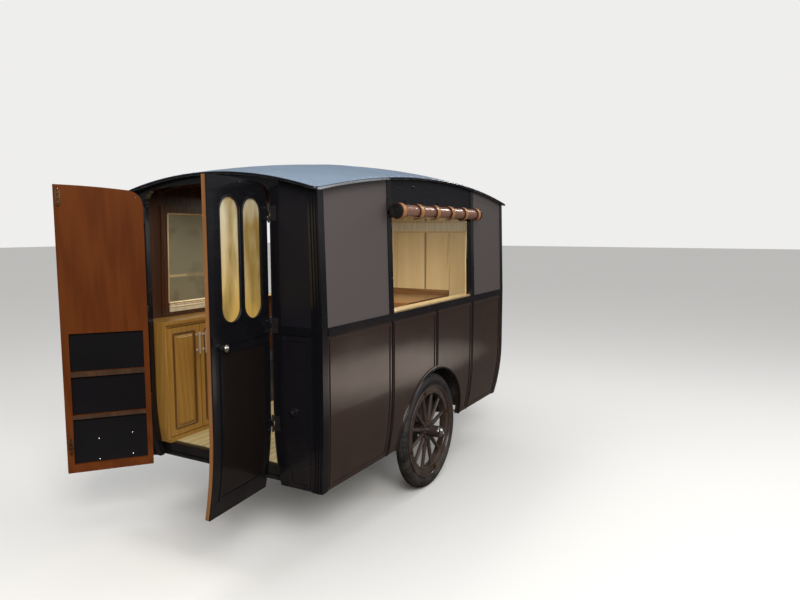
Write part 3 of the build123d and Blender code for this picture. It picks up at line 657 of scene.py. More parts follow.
def coated_cloth(name, dark, light, roughness, scale=650.0, bump=0.35, coat=0.0, specular=0.5):
    """Leatherette and other coated cloth."""
    tree, shader, place = blank_finish(name)
    grain = add_group(
        tree, cloth_grain(), {"Vector": place, "Scale": scale, "Dark": opaque(dark), "Light": opaque(light)}
    )
    scuffs = add_group(tree, fine_scuffs(), {"Vector": place, "Scale": 18.0, "Amount": 0.25})
    rubbed = mix_colour(tree, scuffs["Mask"], grain["Color"], shaded(light, 1.5))
    tree.links.new(rubbed, shader.inputs["Base Color"])
    rough = map_range(tree, scuffs["Patches"], 0.0, 1.0, roughness - 0.06, roughness + 0.06)
    tree.links.new(rough, shader.inputs["Roughness"])
    shader.inputs["Coat Weight"].default_value = coat
    shader.inputs["Coat Roughness"].default_value = 0.15
    shader.inputs["Specular IOR Level"].default_value = specular
    raise_bumps(tree, shader, grain["Height"], bump, 0.0008)


def board(
    name, dark, light, roughness, turn=(0, 0, 0), scale=14.0, width=0.0, coat=0.25, shade=0.35, specular=0.5
):
    """Varnished wood. The grain runs along z after the turn, and a width lays it in boards."""
    tree, shader, place = blank_finish(name)
    turned = add_node(tree, "ShaderNodeMapping", {"Vector": place, "Rotation": turn}).outputs[0]
    grain_place = turned
    if width:
        joints = add_group(tree, board_joints(), {"Vector": turned, "Width": width, "Joint": 0.95})
        shift = add_node(
            tree, "ShaderNodeCombineXYZ", {2: math_node(tree, "MULTIPLY", joints["Shade"], 9.0)}
        )
        grain_place = add_node(tree, "ShaderNodeVectorMath", {0: turned, 1: shift.outputs[0]}).outputs[0]
    grain = {"Vector": grain_place, "Scale": scale, "Dark": opaque(dark), "Light": opaque(light)}
    figure = add_group(tree, wood_figure(), grain)
    colour = figure["Color"]
    height = math_node(tree, "MULTIPLY", figure["Height"], 0.25)
    if width:
        darker = math_node(tree, "MULTIPLY", joints["Shade"], shade)
        colour = mix_colour(tree, darker, colour, opaque(dark))
        colour = mix_colour(tree, joints["Line"], colour, shaded(dark, 0.25))
        height = math_node(tree, "SUBTRACT", height, math_node(tree, "MULTIPLY", joints["Line"], 2.0))
    tree.links.new(colour, shader.inputs["Base Color"])
    rough = map_range(tree, figure["Height"], 0.2, 0.8, roughness - 0.05, roughness + 0.08)
    tree.links.new(rough, shader.inputs["Roughness"])
    shader.inputs["Coat Weight"].default_value = coat
    shader.inputs["Coat Roughness"].default_value = 0.2
    shader.inputs["Specular IOR Level"].default_value = specular
    raise_bumps(tree, shader, height, 0.4, 0.0012)


def plated(name, colour, roughness):
    """Nickel plate, bright strip or dulled brass with fine wear."""
    tree, shader, place = blank_finish(name)
    scuffs = add_group(tree, fine_scuffs(), {"Vector": place, "Scale": 220.0, "Amount": 0.8})
    worn = mix_colour(tree, scuffs["Mask"], opaque(colour), shaded(colour, 0.55))
    tree.links.new(worn, shader.inputs["Base Color"])
    rough = map_range(tree, scuffs["Patches"], 0.0, 1.0, roughness, roughness + 0.15)
    tree.links.new(rough, shader.inputs["Roughness"])
    shader.inputs["Metallic"].default_value = 1.0


def frosted_pane(name, colour, paler):
    """Amber obscured glass: cloudy, with slow bands of tone."""
    tree, shader, place = blank_finish(name)
    slow = add_node(tree, "ShaderNodeVectorMath", {0: place, 1: (9.0, 9.0, 2.2)}, operation="MULTIPLY")
    clouds = add_node(tree, "ShaderNodeTexNoise", {"Vector": slow.outputs[0], "Scale": 1.0, "Detail": 3.0})
    height = add_node(tree, "ShaderNodeSeparateXYZ", {0: place}).outputs[2]
    rise = map_range(tree, height, GROUND + 1.35, GROUND + 1.80)
    toned = mix_colour(tree, rise, opaque(colour), opaque(paler))
    dusk = map_range(tree, clouds.outputs["Fac"], 0.48, 0.66)
    clouded = mix_colour(tree, dusk, toned, shaded(colour, 0.5))
    tree.links.new(clouded, shader.inputs["Base Color"])
    frost = add_node(tree, "ShaderNodeTexNoise", {"Vector": place, "Scale": 900.0, "Detail": 2.0})
    raise_bumps(tree, shader, frost.outputs["Fac"], 0.3, 0.0004)
    shader.inputs["Roughness"].default_value = 0.42
    shader.inputs["Transmission Weight"].default_value = 0.22
    shader.inputs["Coat Weight"].default_value = 0.5
    shader.inputs["Coat Roughness"].default_value = 0.12


def old_mirror(name):
    """Silvered glass with faint clouding."""
    tree, shader, place = blank_finish(name)
    clouds = add_node(tree, "ShaderNodeTexNoise", {"Vector": place, "Scale": 6.0, "Detail": 6.0})
    factor = map_range(tree, clouds.outputs["Fac"], 0.5, 0.75)
    colour = mix_colour(tree, factor, (0.50, 0.46, 0.30, 1), (0.27, 0.24, 0.15, 1))
    tree.links.new(colour, shader.inputs["Base Color"])
    tree.links.new(map_range(tree, factor, 0.0, 1.0, 0.04, 0.16), shader.inputs["Roughness"])
    shader.inputs["Metallic"].default_value = 0.6


def tyre_rubber(name, colour):
    """Old dark rubber, dusty towards the ground and browner where it has dried."""
    tree, shader, place = blank_finish(name)
    mottle = add_node(tree, "ShaderNodeTexNoise", {"Vector": place, "Scale": 30.0, "Detail": 8.0})
    factor = map_range(tree, mottle.outputs["Fac"], 0.35, 0.7)
    base = mix_colour(tree, factor, opaque(colour), shaded(colour, 1.6, 0.012))
    dusty = add_group(
        tree, road_dust(), {"Vector": place, "Color": base, "Top": GROUND + 0.9, "Amount": 0.22}
    )
    tree.links.new(dusty["Color"], shader.inputs["Base Color"])
    tree.links.new(map_range(tree, factor, 0.0, 1.0, 0.55, 0.75), shader.inputs["Roughness"])
    raise_bumps(tree, shader, mottle.outputs["Fac"], 0.25, 0.001)


def finish_named(name):
    """A finish by its name, made by the finishes operator."""
    material = bpy.data.materials.get(name)
    if material is None:
        raise RuntimeError(f"the finish {name} hasn't been made")
    return material


NODE_FINISHES = {
    "black_gloss": "belt_rail corner_posts door_header door_jambs end_sills quarter_posts",
    "black_frame_paint": "chassis_rails cross_members drawbar_legs",
    "black_iron_paint": "axle coupling hinge_plates leaf_springs prop_stand stand_bracket",
    "body_brown": "front_lower_panel lower_arch_panels lower_front_panels lower_rear_panels",
    "leatherette": "front_upper_panel upper_front_panels upper_rear_panels",
    # Black cloth of the curtain headers; on the rear upper panel it is a darker copy of the leatherette,
    # painted shade of the rear face
    "black_cloth_and_rear_shade": "rear_right_upper_panel curtain_header_panels",
    # The rear lower panel takes a darker copy of the body paint: painted shade of the rear face
    "rear_panel_painted_shade": "rear_right_lower_panel",
    "housing_black": "wheel_housings",
    # Roof paint whose blue is partly a painted reflection of bluish light
    "roof_paint_and_painted_reflection": "roof",
    "door_paint_right": "door_right_skin",
    "door_paint_left": "door_left_skin",
    "door_board": "door_left_lining",
    "edge_board": "door_right_lining",
    "brown_trim": "mirror_frame",
    "oak_cabinet": "kitchen_cabinet cabinet_door_front cabinet_door_rear",
    "counter_board": "front_counter",
    "floor_boards": "floor_deck",
    "wheel_brown": "wheel_left wheel_right",
    "rubber": "tyre_left tyre_right",
    "nickel": "door_left_bolts door_right_knob hub_cap_left hub_cap_right",
    "amber_pane": "door_right_panes",
    "silvered": "mirror_glass",
    "curtain_cloth": "curtain_rolls",
    "tan_strap": "curtain_straps",
}


def colour_property(name, description, default):
    return FloatVectorProperty(
        name=name, description=description, subtype="COLOR", size=3, min=0.0, max=1.0, default=default
    )


def length_property(name, description, default):
    return FloatProperty(
        name=name, description=description, default=default, subtype="DISTANCE", unit="LENGTH"
    )


class TrailerFinishes(bpy.types.PropertyGroup):
    black: colour_property("Black", "Gloss black of posts, belt and doors", (0.005, 0.005, 0.007))
    body: colour_property("Body", "Very dark brown of the lower panels", (0.030, 0.016, 0.012))
    door_field: colour_property("Door field", "Dark brown of the doors' lower field", (0.010, 0.007, 0.006))
    leatherette_dark: colour_property(
        "Leatherette hollows", "Hollows of the side cloth", (0.048, 0.036, 0.038)
    )
    leatherette_light: colour_property(
        "Leatherette tops", "Raised grain of the side cloth", (0.094, 0.072, 0.074)
    )
    # Blue-grey roof paint; part of its blue stands in for reflected bluish light, a painted reflection
    roof: colour_property("Roof", "Blue-grey of the roof", (0.205, 0.280, 0.385))
    board_dark: colour_property(
        "Door board shade", "Darker grain of the doors' boards", (0.100, 0.024, 0.005)
    )
    board_light: colour_property("Door board", "Orange-brown of the doors' boards", (0.150, 0.040, 0.008))
    oak_dark: colour_property("Oak shade", "Darker grain of the cabinet", (0.340, 0.165, 0.030))
    oak_light: colour_property("Oak", "Golden oak of the cabinet", (0.450, 0.240, 0.050))
    cream_dark: colour_property("Lining shade", "Darker grain of the inside boards", (0.420, 0.280, 0.120))
    cream_light: colour_property("Lining", "Tan of the inside boards", (0.640, 0.480, 0.250))
    brown_dark: colour_property("Wall shade", "Darker grain of the side walls", (0.030, 0.010, 0.004))
    brown_light: colour_property("Wall", "Dark brown of the side walls and ceiling", (0.080, 0.030, 0.011))
    floor_dark: colour_property("Floor shade", "Darker grain of the floor", (0.420, 0.330, 0.150))
    floor_light: colour_property("Floor", "Pale floor boards", (0.720, 0.610, 0.330))
    wheel: colour_property("Wheel", "Dark brown of spokes and felloes", (0.042, 0.026, 0.021))
    tyre: colour_property("Tyre", "Dark grey rubber", (0.010, 0.008, 0.008))
    curtain: colour_property("Curtain", "Brown of the rolled curtain", (0.190, 0.092, 0.062))
    strap: colour_property("Strap", "Tan of the curtain straps", (0.330, 0.150, 0.055))


class TrailerTrim(bpy.types.PropertyGroup):
    screw_radius: length_property("Screw head", "Radius of a round-headed screw", 0.0045)
    nail_pitch: length_property("Nail pitch", "Distance between nails along the roof's edge", 0.075)
    seam_width: length_property(
        "Seam moulding", "Width of the mouldings over the lower panels' seams", 0.017
    )
    seam_height: length_property("Seam height", "How far those mouldings stand proud", 0.007)
    rail_length: length_property("Drip rail", "Length of the bright rail over the rear quarter", 0.680)
    board_width: length_property("Floor board", "Width of one floor board", 0.062)
    lining_thickness: length_property("Lining", "Thickness of the inside boards", 0.004)
    bow_pitch: length_property("Bow pitch", "Distance between the ceiling's bows", 0.420)


class TrailerCurtain(bpy.types.PropertyGroup):
    width: length_property("Curtain width", "Width of the rolled side curtain", 1.186)
    turns: FloatProperty(
        name="Turns", description="Turns of cloth in the roll", default=4.6, min=2.0, max=8.0
    )
    core: length_property("Core", "Radius of the innermost turn", 0.012)
    strap_width: length_property("Strap width", "Width of a curtain strap", 0.044)
    strap_thickness: length_property("Strap thickness", "Thickness of a curtain strap", 0.003)
    tab_height: length_property("Tab height", "Height of a strap's tab above the roll's centre", 0.068)


class TrailerTyre(bpy.types.PropertyGroup):
    groove_depth: length_property("Groove depth", "Depth of the tread's grooves", 0.005)
    tread_blocks: IntProperty(
        name="Tread blocks", description="Blocks round the tread", default=72, min=24, max=120
    )
    hub_bolts: IntProperty(
        name="Hub bolts", description="Bolts round the hub flange", default=6, min=4, max=12
    )


class TrailerStudio(bpy.types.PropertyGroup):
    floor: colour_property("Floor", "Pale floor as the camera sees it", (0.860, 0.855, 0.840))
    # A painted pool of light: the floor's colour where reflections and bounced light see it lit
    painted_light_pool: colour_property(
        "Lit floor", "Lit part of the floor as reflections see it", (0.95, 0.82, 0.72)
    )
    floor_bounce: colour_property(
        "Floor bounce", "Floor as the light and reflections see it", (0.105, 0.088, 0.078)
    )
    lens: FloatProperty(name="Lens", description="Focal length of the camera", default=29.334, unit="CAMERA")
    key_power: FloatProperty(
        name="Key light", description="Power of the main soft light", default=350.0, unit="POWER"
    )
    fill_power: FloatProperty(
        name="Fill light", description="Power of the fill light", default=80.0, unit="POWER"
    )
    roll_power: FloatProperty(
        name="Roll light", description="Power of the light along the rolls", default=9.0, unit="POWER"
    )
    cabin_power: FloatProperty(
        name="Cabin light", description="Power of the light inside", default=19.0, unit="POWER"
    )


class TRAILER_OT_finishes(bpy.types.Operator):
    """Make every finish and give each CAD node its own"""

    bl_idname = "trailer.finishes"
    bl_label = "Finishes"

    def execute(self, context):
        looks = context.scene.trailer_finishes
        paint("black_gloss", looks.black, 0.18, coat=0.15, ripple=0.10, dust=0.1, worn=0.12)
        paint("black_frame_paint", looks.black, 0.42, dust=0.6, worn=0.6)
        paint("black_iron_paint", (0.013, 0.012, 0.012), 0.36, dust=0.5, worn=0.7)
        paint("body_brown", looks.body, 0.14, coat=0.8, ripple=0.16, dust=0.12, worn=0.15)
        # A darker copy of the body paint for the rear lower panel: painted shade of the rear face
        paint("rear_panel_painted_shade", (0.0075, 0.007, 0.009), 0.2, coat=0.2, ripple=0.12, dust=0.1)
        paint("housing_black", (0.010, 0.009, 0.009), 0.6, dust=0.8, worn=0.3)
        # Roof paint whose blue is partly a painted reflection of bluish light
        paint("roof_paint_and_painted_reflection", looks.roof, 0.34, coat=0.2, ripple=0.5, dust=0.0, worn=0.5)
        paint("wheel_brown", looks.wheel, 0.24, coat=0.4, dust=0.25, worn=0.5)
        door_paint("right")
        door_paint("left")
        coated_cloth("leatherette", looks.leatherette_dark, looks.leatherette_light, 0.5)
        # Black cloth for the curtain headers, also a darker copy of the leatherette that paints shade on the
        # rear upper panel
        coated_cloth(
            "black_cloth_and_rear_shade", (0.006, 0.006, 0.009), (0.013, 0.012, 0.016), 0.36, bump=0.12, specular=0.15
        )
        coated_cloth(
            "pocket_cloth", (0.003, 0.003, 0.004), (0.008, 0.007, 0.009), 0.6, scale=420.0, specular=0.1
        )
        coated_cloth(
            "curtain_cloth", looks.curtain, tuple(c * 1.35 for c in looks.curtain), 0.26, 260.0, 0.15, 0.5
        )
        coated_cloth("curtain_end", (0.004, 0.004, 0.004), (0.012, 0.010, 0.009), 0.5, 300.0, specular=0.25)
        # Dark brown of the beads along the straps' edges: painted shadow of the slits beside each strap
        coated_cloth("strap_shadow_edge", (0.035, 0.013, 0.007), (0.060, 0.024, 0.012), 0.4, 300.0, specular=0.3)
        coated_cloth(
            "tan_strap", looks.strap, tuple(min(1.0, c * 1.4) for c in looks.strap), 0.42, 340.0, 0.4, 0.15
        )
        board("door_board", looks.board_dark, looks.board_light, 0.5, coat=0.0, specular=0.05)
        board("edge_board", (0.230, 0.095, 0.030), (0.330, 0.150, 0.052), 0.45, coat=0.05, specular=0.25)
        board(
            "door_rail",
            (0.045, 0.020, 0.009),
            (0.085, 0.040, 0.018),
            0.45,
            scale=22.0,
            coat=0.05,
            specular=0.25,
        )
        board("oak_cabinet", looks.oak_dark, looks.oak_light, 0.3, scale=16.0, coat=0.4)
        # Dark oak for the strips of painted shadow round the cabinet's raised panels
        board("oak_shadow", (0.110, 0.042, 0.006), (0.150, 0.062, 0.012), 0.4, scale=16.0, coat=0.1)
        board(
            "counter_board",
            (0.13, 0.055, 0.017),
            (0.24, 0.115, 0.038),
            0.3,
            turn=(math.radians(90), 0, 0),
            coat=0.3,
        )
        upright = (0, 0, math.radians(90))
        middling = tuple((dark + 2 * light) / 3 for dark, light in zip(looks.cream_dark, looks.cream_light))
        board(
            "cream_boards_across",
            middling,
            looks.cream_light,
            0.3,
            upright,
            5.0,
            width=0.60,
            coat=0.5,
            shade=0.06,
        )
        board("cream_trim", looks.cream_dark, looks.cream_light, 0.32, scale=18.0, coat=0.4)
        board(
            "brown_boards",
            looks.brown_dark,
            looks.brown_light,
            0.34,
            scale=9.0,
            width=0.11,
            coat=0.0,
            shade=0.2,
            specular=0.2,
        )
        board(
            "brown_across",
            looks.brown_dark,
            looks.brown_light,
            0.34,
            upright,
            9.0,
            width=0.11,
            coat=0.0,
            shade=0.2,
            specular=0.2,
        )
        board("brown_trim", looks.brown_dark, looks.brown_light, 0.32, scale=18.0, coat=0.0, specular=0.2)
        board(
            "beadboard",
            (0.50, 0.42, 0.27),
            (0.62, 0.55, 0.39),
            0.3,
            upright,
            9.0,
            width=0.03,
            coat=0.4,
            shade=0.1,
        )
        width = context.scene.trailer_trim.board_width
        lengthways = (0, math.radians(90), math.radians(90))
        board(
            "floor_boards",
            looks.floor_dark,
            looks.floor_light,
            0.38,
            lengthways,
            11.0,
            width=width,
            coat=0.2,
        )
        plated("nickel", (0.62, 0.60, 0.55), 0.16)
        plated("bright_strip", (0.72, 0.74, 0.76), 0.2)
        plated("handle_nickel", (0.95, 0.92, 0.86), 0.45)
        plated("aged_brass", (0.16, 0.085, 0.040), 0.5)
        frosted_pane("amber_pane", (0.86, 0.56, 0.14), (0.86, 0.78, 0.54))
        old_mirror("silvered")
        tyre_rubber("rubber", looks.tyre)
        for finish, names in NODE_FINISHES.items():
            for name in names.split():
                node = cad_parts[name]
                node.data.materials.clear()
                node.data.materials.append(finish_named(finish))
        return {"FINISHED"}


class TRAILER_OT_roof_trim(bpy.types.Operator):
    """Add the roof's edge moulding, nails, lap seams and bright rear drip rails"""

    bl_idname = "trailer.roof_trim"
    bl_label = "Roof Trim"

    def execute(self, context):
        trim = context.scene.trailer_trim
        edge_x = ROOF_HALF_LENGTH
        edge_y = ROOF_HALF_WIDTH
        corner = 0.040
        outline = []
        corners = [(1, 1, 0), (-1, 1, 90), (-1, -1, 180), (1, -1, 270)]
        for (cx, cy, start), (next_x, next_y, _) in zip(corners, corners[1:] + corners[:1]):
            for step in range(7):
                a = math.radians(start + 15 * step)
                x = cx * (edge_x - corner) + corner * math.cos(a)
                outline.append((x, cy * (edge_y - corner) + corner * math.sin(a)))
            ends = outline[-1], (next_x * (edge_x - corner), next_y * (edge_y - corner))
            run_x = cx != next_x
            for step in range(1, 24):
                t = step / 24
                if run_x:
                    outline.append((ends[0][0] + (ends[1][0] - ends[0][0]) * t, ends[0][1]))
                else:
                    outline.append((ends[0][0], ends[0][1] + (ends[1][1] - ends[0][1]) * t))
        bm = bmesh.new()
        stations = []
        for i, (x, y) in enumerate(outline):
            before = Vector(outline[i - 1])
            after = Vector(outline[(i + 1) % len(outline)])
            run = (after - before).normalized()
            out = Vector((run.y, -run.x, 0))
            stations.append((at(x, y, roof_at(x, y, 0.007)), Vector((0, 0, 1)), out))
        sweep(bm, stations, half_round(0.013, 0.004), closed=True)
        piece("roof_edge_moulding", bm, "black_gloss")
        bm = bmesh.new()
        for side in (-1, 1):
            count = int(2 * (edge_x - corner) / trim.nail_pitch)
            for x in spread(-edge_x + corner, edge_x - corner, count):
                y = side * (edge_y - 0.016)
                add_dome(bm, at(x, y, roof_at(x, y)), (0, side * 0.3, 1), 0.004, 0.0022, 8)
        for end in (-1, 1):
            for y in spread(-edge_y + corner, edge_y - corner, int(2 * edge_y / trim.nail_pitch)):
                x = end * (edge_x - 0.016)
                add_dome(bm, at(x, y, roof_at(x, y)), (end * 0.2, 0, 1), 0.004, 0.0022, 8)
        piece("roof_nails", bm, "bright_strip")
        bm = bmesh.new()
        for place in (-0.43, 0.43):
            stations = []
            for y in spread(-edge_y + 0.002, edge_y - 0.002, 33):
                point = at(place, y, roof_at(place, y))
                stations.append((point, Vector((1, 0, 0)), Vector((0, 0, 1))))
            sweep(bm, stations, flat_section(0.030, 0.0018, 0.0008))
        piece("roof_lap_seams", bm, "roof_paint_and_painted_reflection")
        bm = bmesh.new()
        hook = [(-0.002, 0.003), (0.004, 0.003), (0.0045, -0.005), (0.010, -0.006), (0.0105, -0.002)]
        hook += [(0.012, -0.002), (0.012, -0.0075), (0.002, -0.007), (-0.002, -0.002)]
        for side in (-1, 1):
            stations = []
            for x in spread(-edge_x + 0.004, -edge_x + trim.rail_length, 25):
                point = at(x, side * (edge_y + 0.002), roof_at(x, edge_y, 0.006))
                stations.append((point, Vector((0, side, 0)), Vector((0, 0, 1))))
            sweep(bm, stations, hook)
        piece("drip_rails", bm, "bright_strip")
        return {"FINISHED"}


def side_moulding(bm, side, x, z_low, z_high, section, count=14):
    """An upright moulding on a side wall."""
    stations = []
    for z in spread(z_low, z_high, count):
        stations.append((at(x, side * side_at(z), z), Vector((1, 0, 0)), Vector((0, side, 0))))
    sweep(bm, stations, section)


class TRAILER_OT_body_trim(bpy.types.Operator):
    """Add seam mouldings, arch beads, snaps, screws and the door jambs' beads"""

    bl_idname = "trailer.body_trim"
    bl_label = "Body Trim"

    def execute(self, context):
        trim = context.scene.trailer_trim
        bm = bmesh.new()
        for _, side in SIDES:
            section = half_round(trim.seam_width, trim.seam_height)
            for x in PANEL_SEAMS:
                reach = ARCH_RADIUS**2 - (x - ARCH_X) ** 2
                low = ARCH_Z + math.sqrt(reach) if reach > 0 else 0
                side_moulding(bm, side, x, max(low + 0.004, SIDE_FOOT), BELT_BOTTOM, section)
        piece("seam_mouldings", bm, "black_gloss")
        bm = bmesh.new()
        for _, side in SIDES:
            stations = []
            low = math.asin((SIDE_FOOT - ARCH_Z) / ARCH_RADIUS)
            for a in spread(low, math.pi - low, 40):
                x = ARCH_X + ARCH_RADIUS * math.cos(a)
                z = ARCH_Z + ARCH_RADIUS * math.sin(a)
                out = Vector((math.cos(a), 0, math.sin(a)))
                stations.append((at(x, side * (side_at(z) + 0.004), z), out, Vector((0, side, 0))))
            sweep(bm, stations, round_section(0.007, 8))
        piece("arch_beads", bm, "black_gloss")
        bm = bmesh.new()
        for _, side in SIDES:
            for x, z, radius in SNAPS:
                proud = 0.004 if z < WINDOW[3] else 0.0
                add_dome(bm, at(x, side * (side_at(z) + proud), z), (0, side, 0), radius, radius * 0.8, 12)
        piece("curtain_snaps", bm, "black_gloss")
        bm = bmesh.new()
        radius = trim.screw_radius
        for _, side in SIDES:
            for x in (-CORNER_X, CORNER_X):
                for z in spread(0.45, 1.14, 6) + spread(1.29, 1.86, 5):
                    add_dome(bm, at(x, side * (side_at(z) + 0.004), z), (0, side, 0), radius, 0.002, 8)
            for x in spread(-1.17, 1.17, 14):
                z = (BELT_TOP + BELT_BOTTOM) / 2
                add_dome(bm, at(x, side * (side_at(z) + BELT_PROUD), z), (0, side, 0), radius, 0.002, 8)
        for y in spread(-0.58, 0.58, 8):
            z = (BELT_TOP + BELT_BOTTOM) / 2
            add_dome(bm, at(end_at(z) + BELT_PROUD, y, z), (1, 0, 0), radius, 0.002, 8)
        piece("body_screws", bm, "black_gloss")
        bm = bmesh.new()
        for hinge_y, toward, _, _ in DOORS.values():
            for low, high in zip(JAMB_BREAKS[::2], JAMB_BREAKS[1::2]):
                stations = []
                for z in spread(low, high, 8):
                    point = at(-end_at(z), hinge_y - toward * 0.0055, z)
                    stations.append((point, Vector((0, 1, 0)), Vector((-1, 0, 0))))
                sweep(bm, stations, half_round(0.008, 0.006))
        piece("jamb_beads", bm, "black_gloss")
        return {"FINISHED"}


class TRAILER_OT_curtains(bpy.types.Operator):
    """Roll the side curtains up and strap them under the roof's edge"""

    bl_idname = "trailer.curtains"
    bl_label = "Side Curtains"

    def execute(self, context):
        looks = context.scene.trailer_curtain
        low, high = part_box("curtain_rolls")
        roll_radius = (high[2] - low[2]) / 2 - 0.001
        roll_y = high[1] - roll_radius - 0.001
        roll_z = (low[2] + high[2]) / 2
        roll_x = (low[0] + high[0]) / 2
        steps = int(looks.turns * 28)
        for name, side in SIDES:
            bm = bmesh.new()
            xs = spread(roll_x - looks.width / 2, roll_x + looks.width / 2, 66)
            straps = strap_places()

            def surface(u, v):
                swell = noise.noise(Vector((u * 3.0, v * 9.0, side))) * 0.0012
                pinch = sum(math.exp(-(((u - MIDDLE_X - s) / 0.028) ** 2)) for s in straps)
                radius = looks.core + (roll_radius - 0.0035 - looks.core) * v + swell - 0.0022 * pinch * v
                angle = 2 * math.pi * looks.turns * v
                y = side * (roll_y + radius * math.cos(angle))
                return Vector((u, y, roll_z + radius * math.sin(angle)))

            add_shell(bm, surface, xs, spread(0.0, 1.0, steps), CLOTH_THICKNESS)
            roll = piece(f"curtain_roll_{name}", bm, "curtain_cloth", smooth=60.0)
            if name == "right":
                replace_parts(roll, "curtain_rolls")
            bm = bmesh.new()
            for end, along in ((xs[0], 1), (xs[-1], -1)):
                place = facing(Vector((end - along * 0.001, side * roll_y, roll_z)), (-along, 0, 0))
                rim = roll_radius - 0.002
                rings = [(-0.004, rim), (0.001, rim), (0.0025, rim - 0.004)]
                rings += [(0.0005, 0.030), (0.002, 0.026), (-0.001, 0.016), (0.001, 0.012), (0.0, 0.0)]
                add_lathe(bm, rings, place, 32)
            piece(f"curtain_ends_{name}", bm, "curtain_end")
            self.add_straps(name, side, looks, roll_radius, roll_y, roll_z)
        return {"FINISHED"}

    def add_straps(self, name, side, looks, roll_radius, roll_y, roll_z):
        """Straps round the roll, edged with dark beads that paint the shadow beside them, each with a tab
        behind it on the header.
        """
        straps = bmesh.new()
        edges = bmesh.new()
        tabs = bmesh.new()
        radius = roll_radius - 0.0012
        across = Vector((1, 0, 0))
        half = looks.strap_width / 2
        for place in strap_places():
            centre = Vector((MIDDLE_X + place, side * roll_y, roll_z))
            rounds = [Vector((0, side * math.cos(a), math.sin(a))) for a in spread(3.30, -1.75, 36)]
            stations = [(centre + up * radius, across, up) for up in rounds]
            sweep(straps, stations, flat_section(looks.strap_width, looks.strap_thickness, 0.0008))
            # Dark beads along both edges of each strap: painted shadow of the slits beside it
            for shift in (-half, half):
                shadow_edging = [(point + across * shift, across, up) for point, across, up in stations]
                sweep(edges, shadow_edging, half_round(0.005, looks.strap_thickness + 0.0008, 4))
            stations = []
            for z in spread(roll_z - GROUND, roll_z - GROUND + looks.tab_height, 10):
                proud = 0.006 if place < WINDOW[0] else 0.0015
                narrow = max(0.0, (z + 0.022 - roll_z + GROUND - looks.tab_height) / 0.022)
                width = math.sqrt(max(0.02, 1 - narrow**2))
                point = at(place, side * (side_at(z) + proud), z)
                stations.append((point, across * width, Vector((0, side, 0))))
            sweep(tabs, stations, flat_section(0.052, 0.004))
        strap_set = piece(f"curtain_strap_set_{name}", straps, "tan_strap")
        if name == "right":
            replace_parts(strap_set, "curtain_straps")
        piece(f"strap_shadow_edges_{name}", edges, "strap_shadow_edge")
        piece(f"strap_tabs_{name}", tabs, "curtain_end")


def strap_places():
    return [FIRST_STRAP + STRAP_PITCH * i for i in range(STRAP_COUNT)]


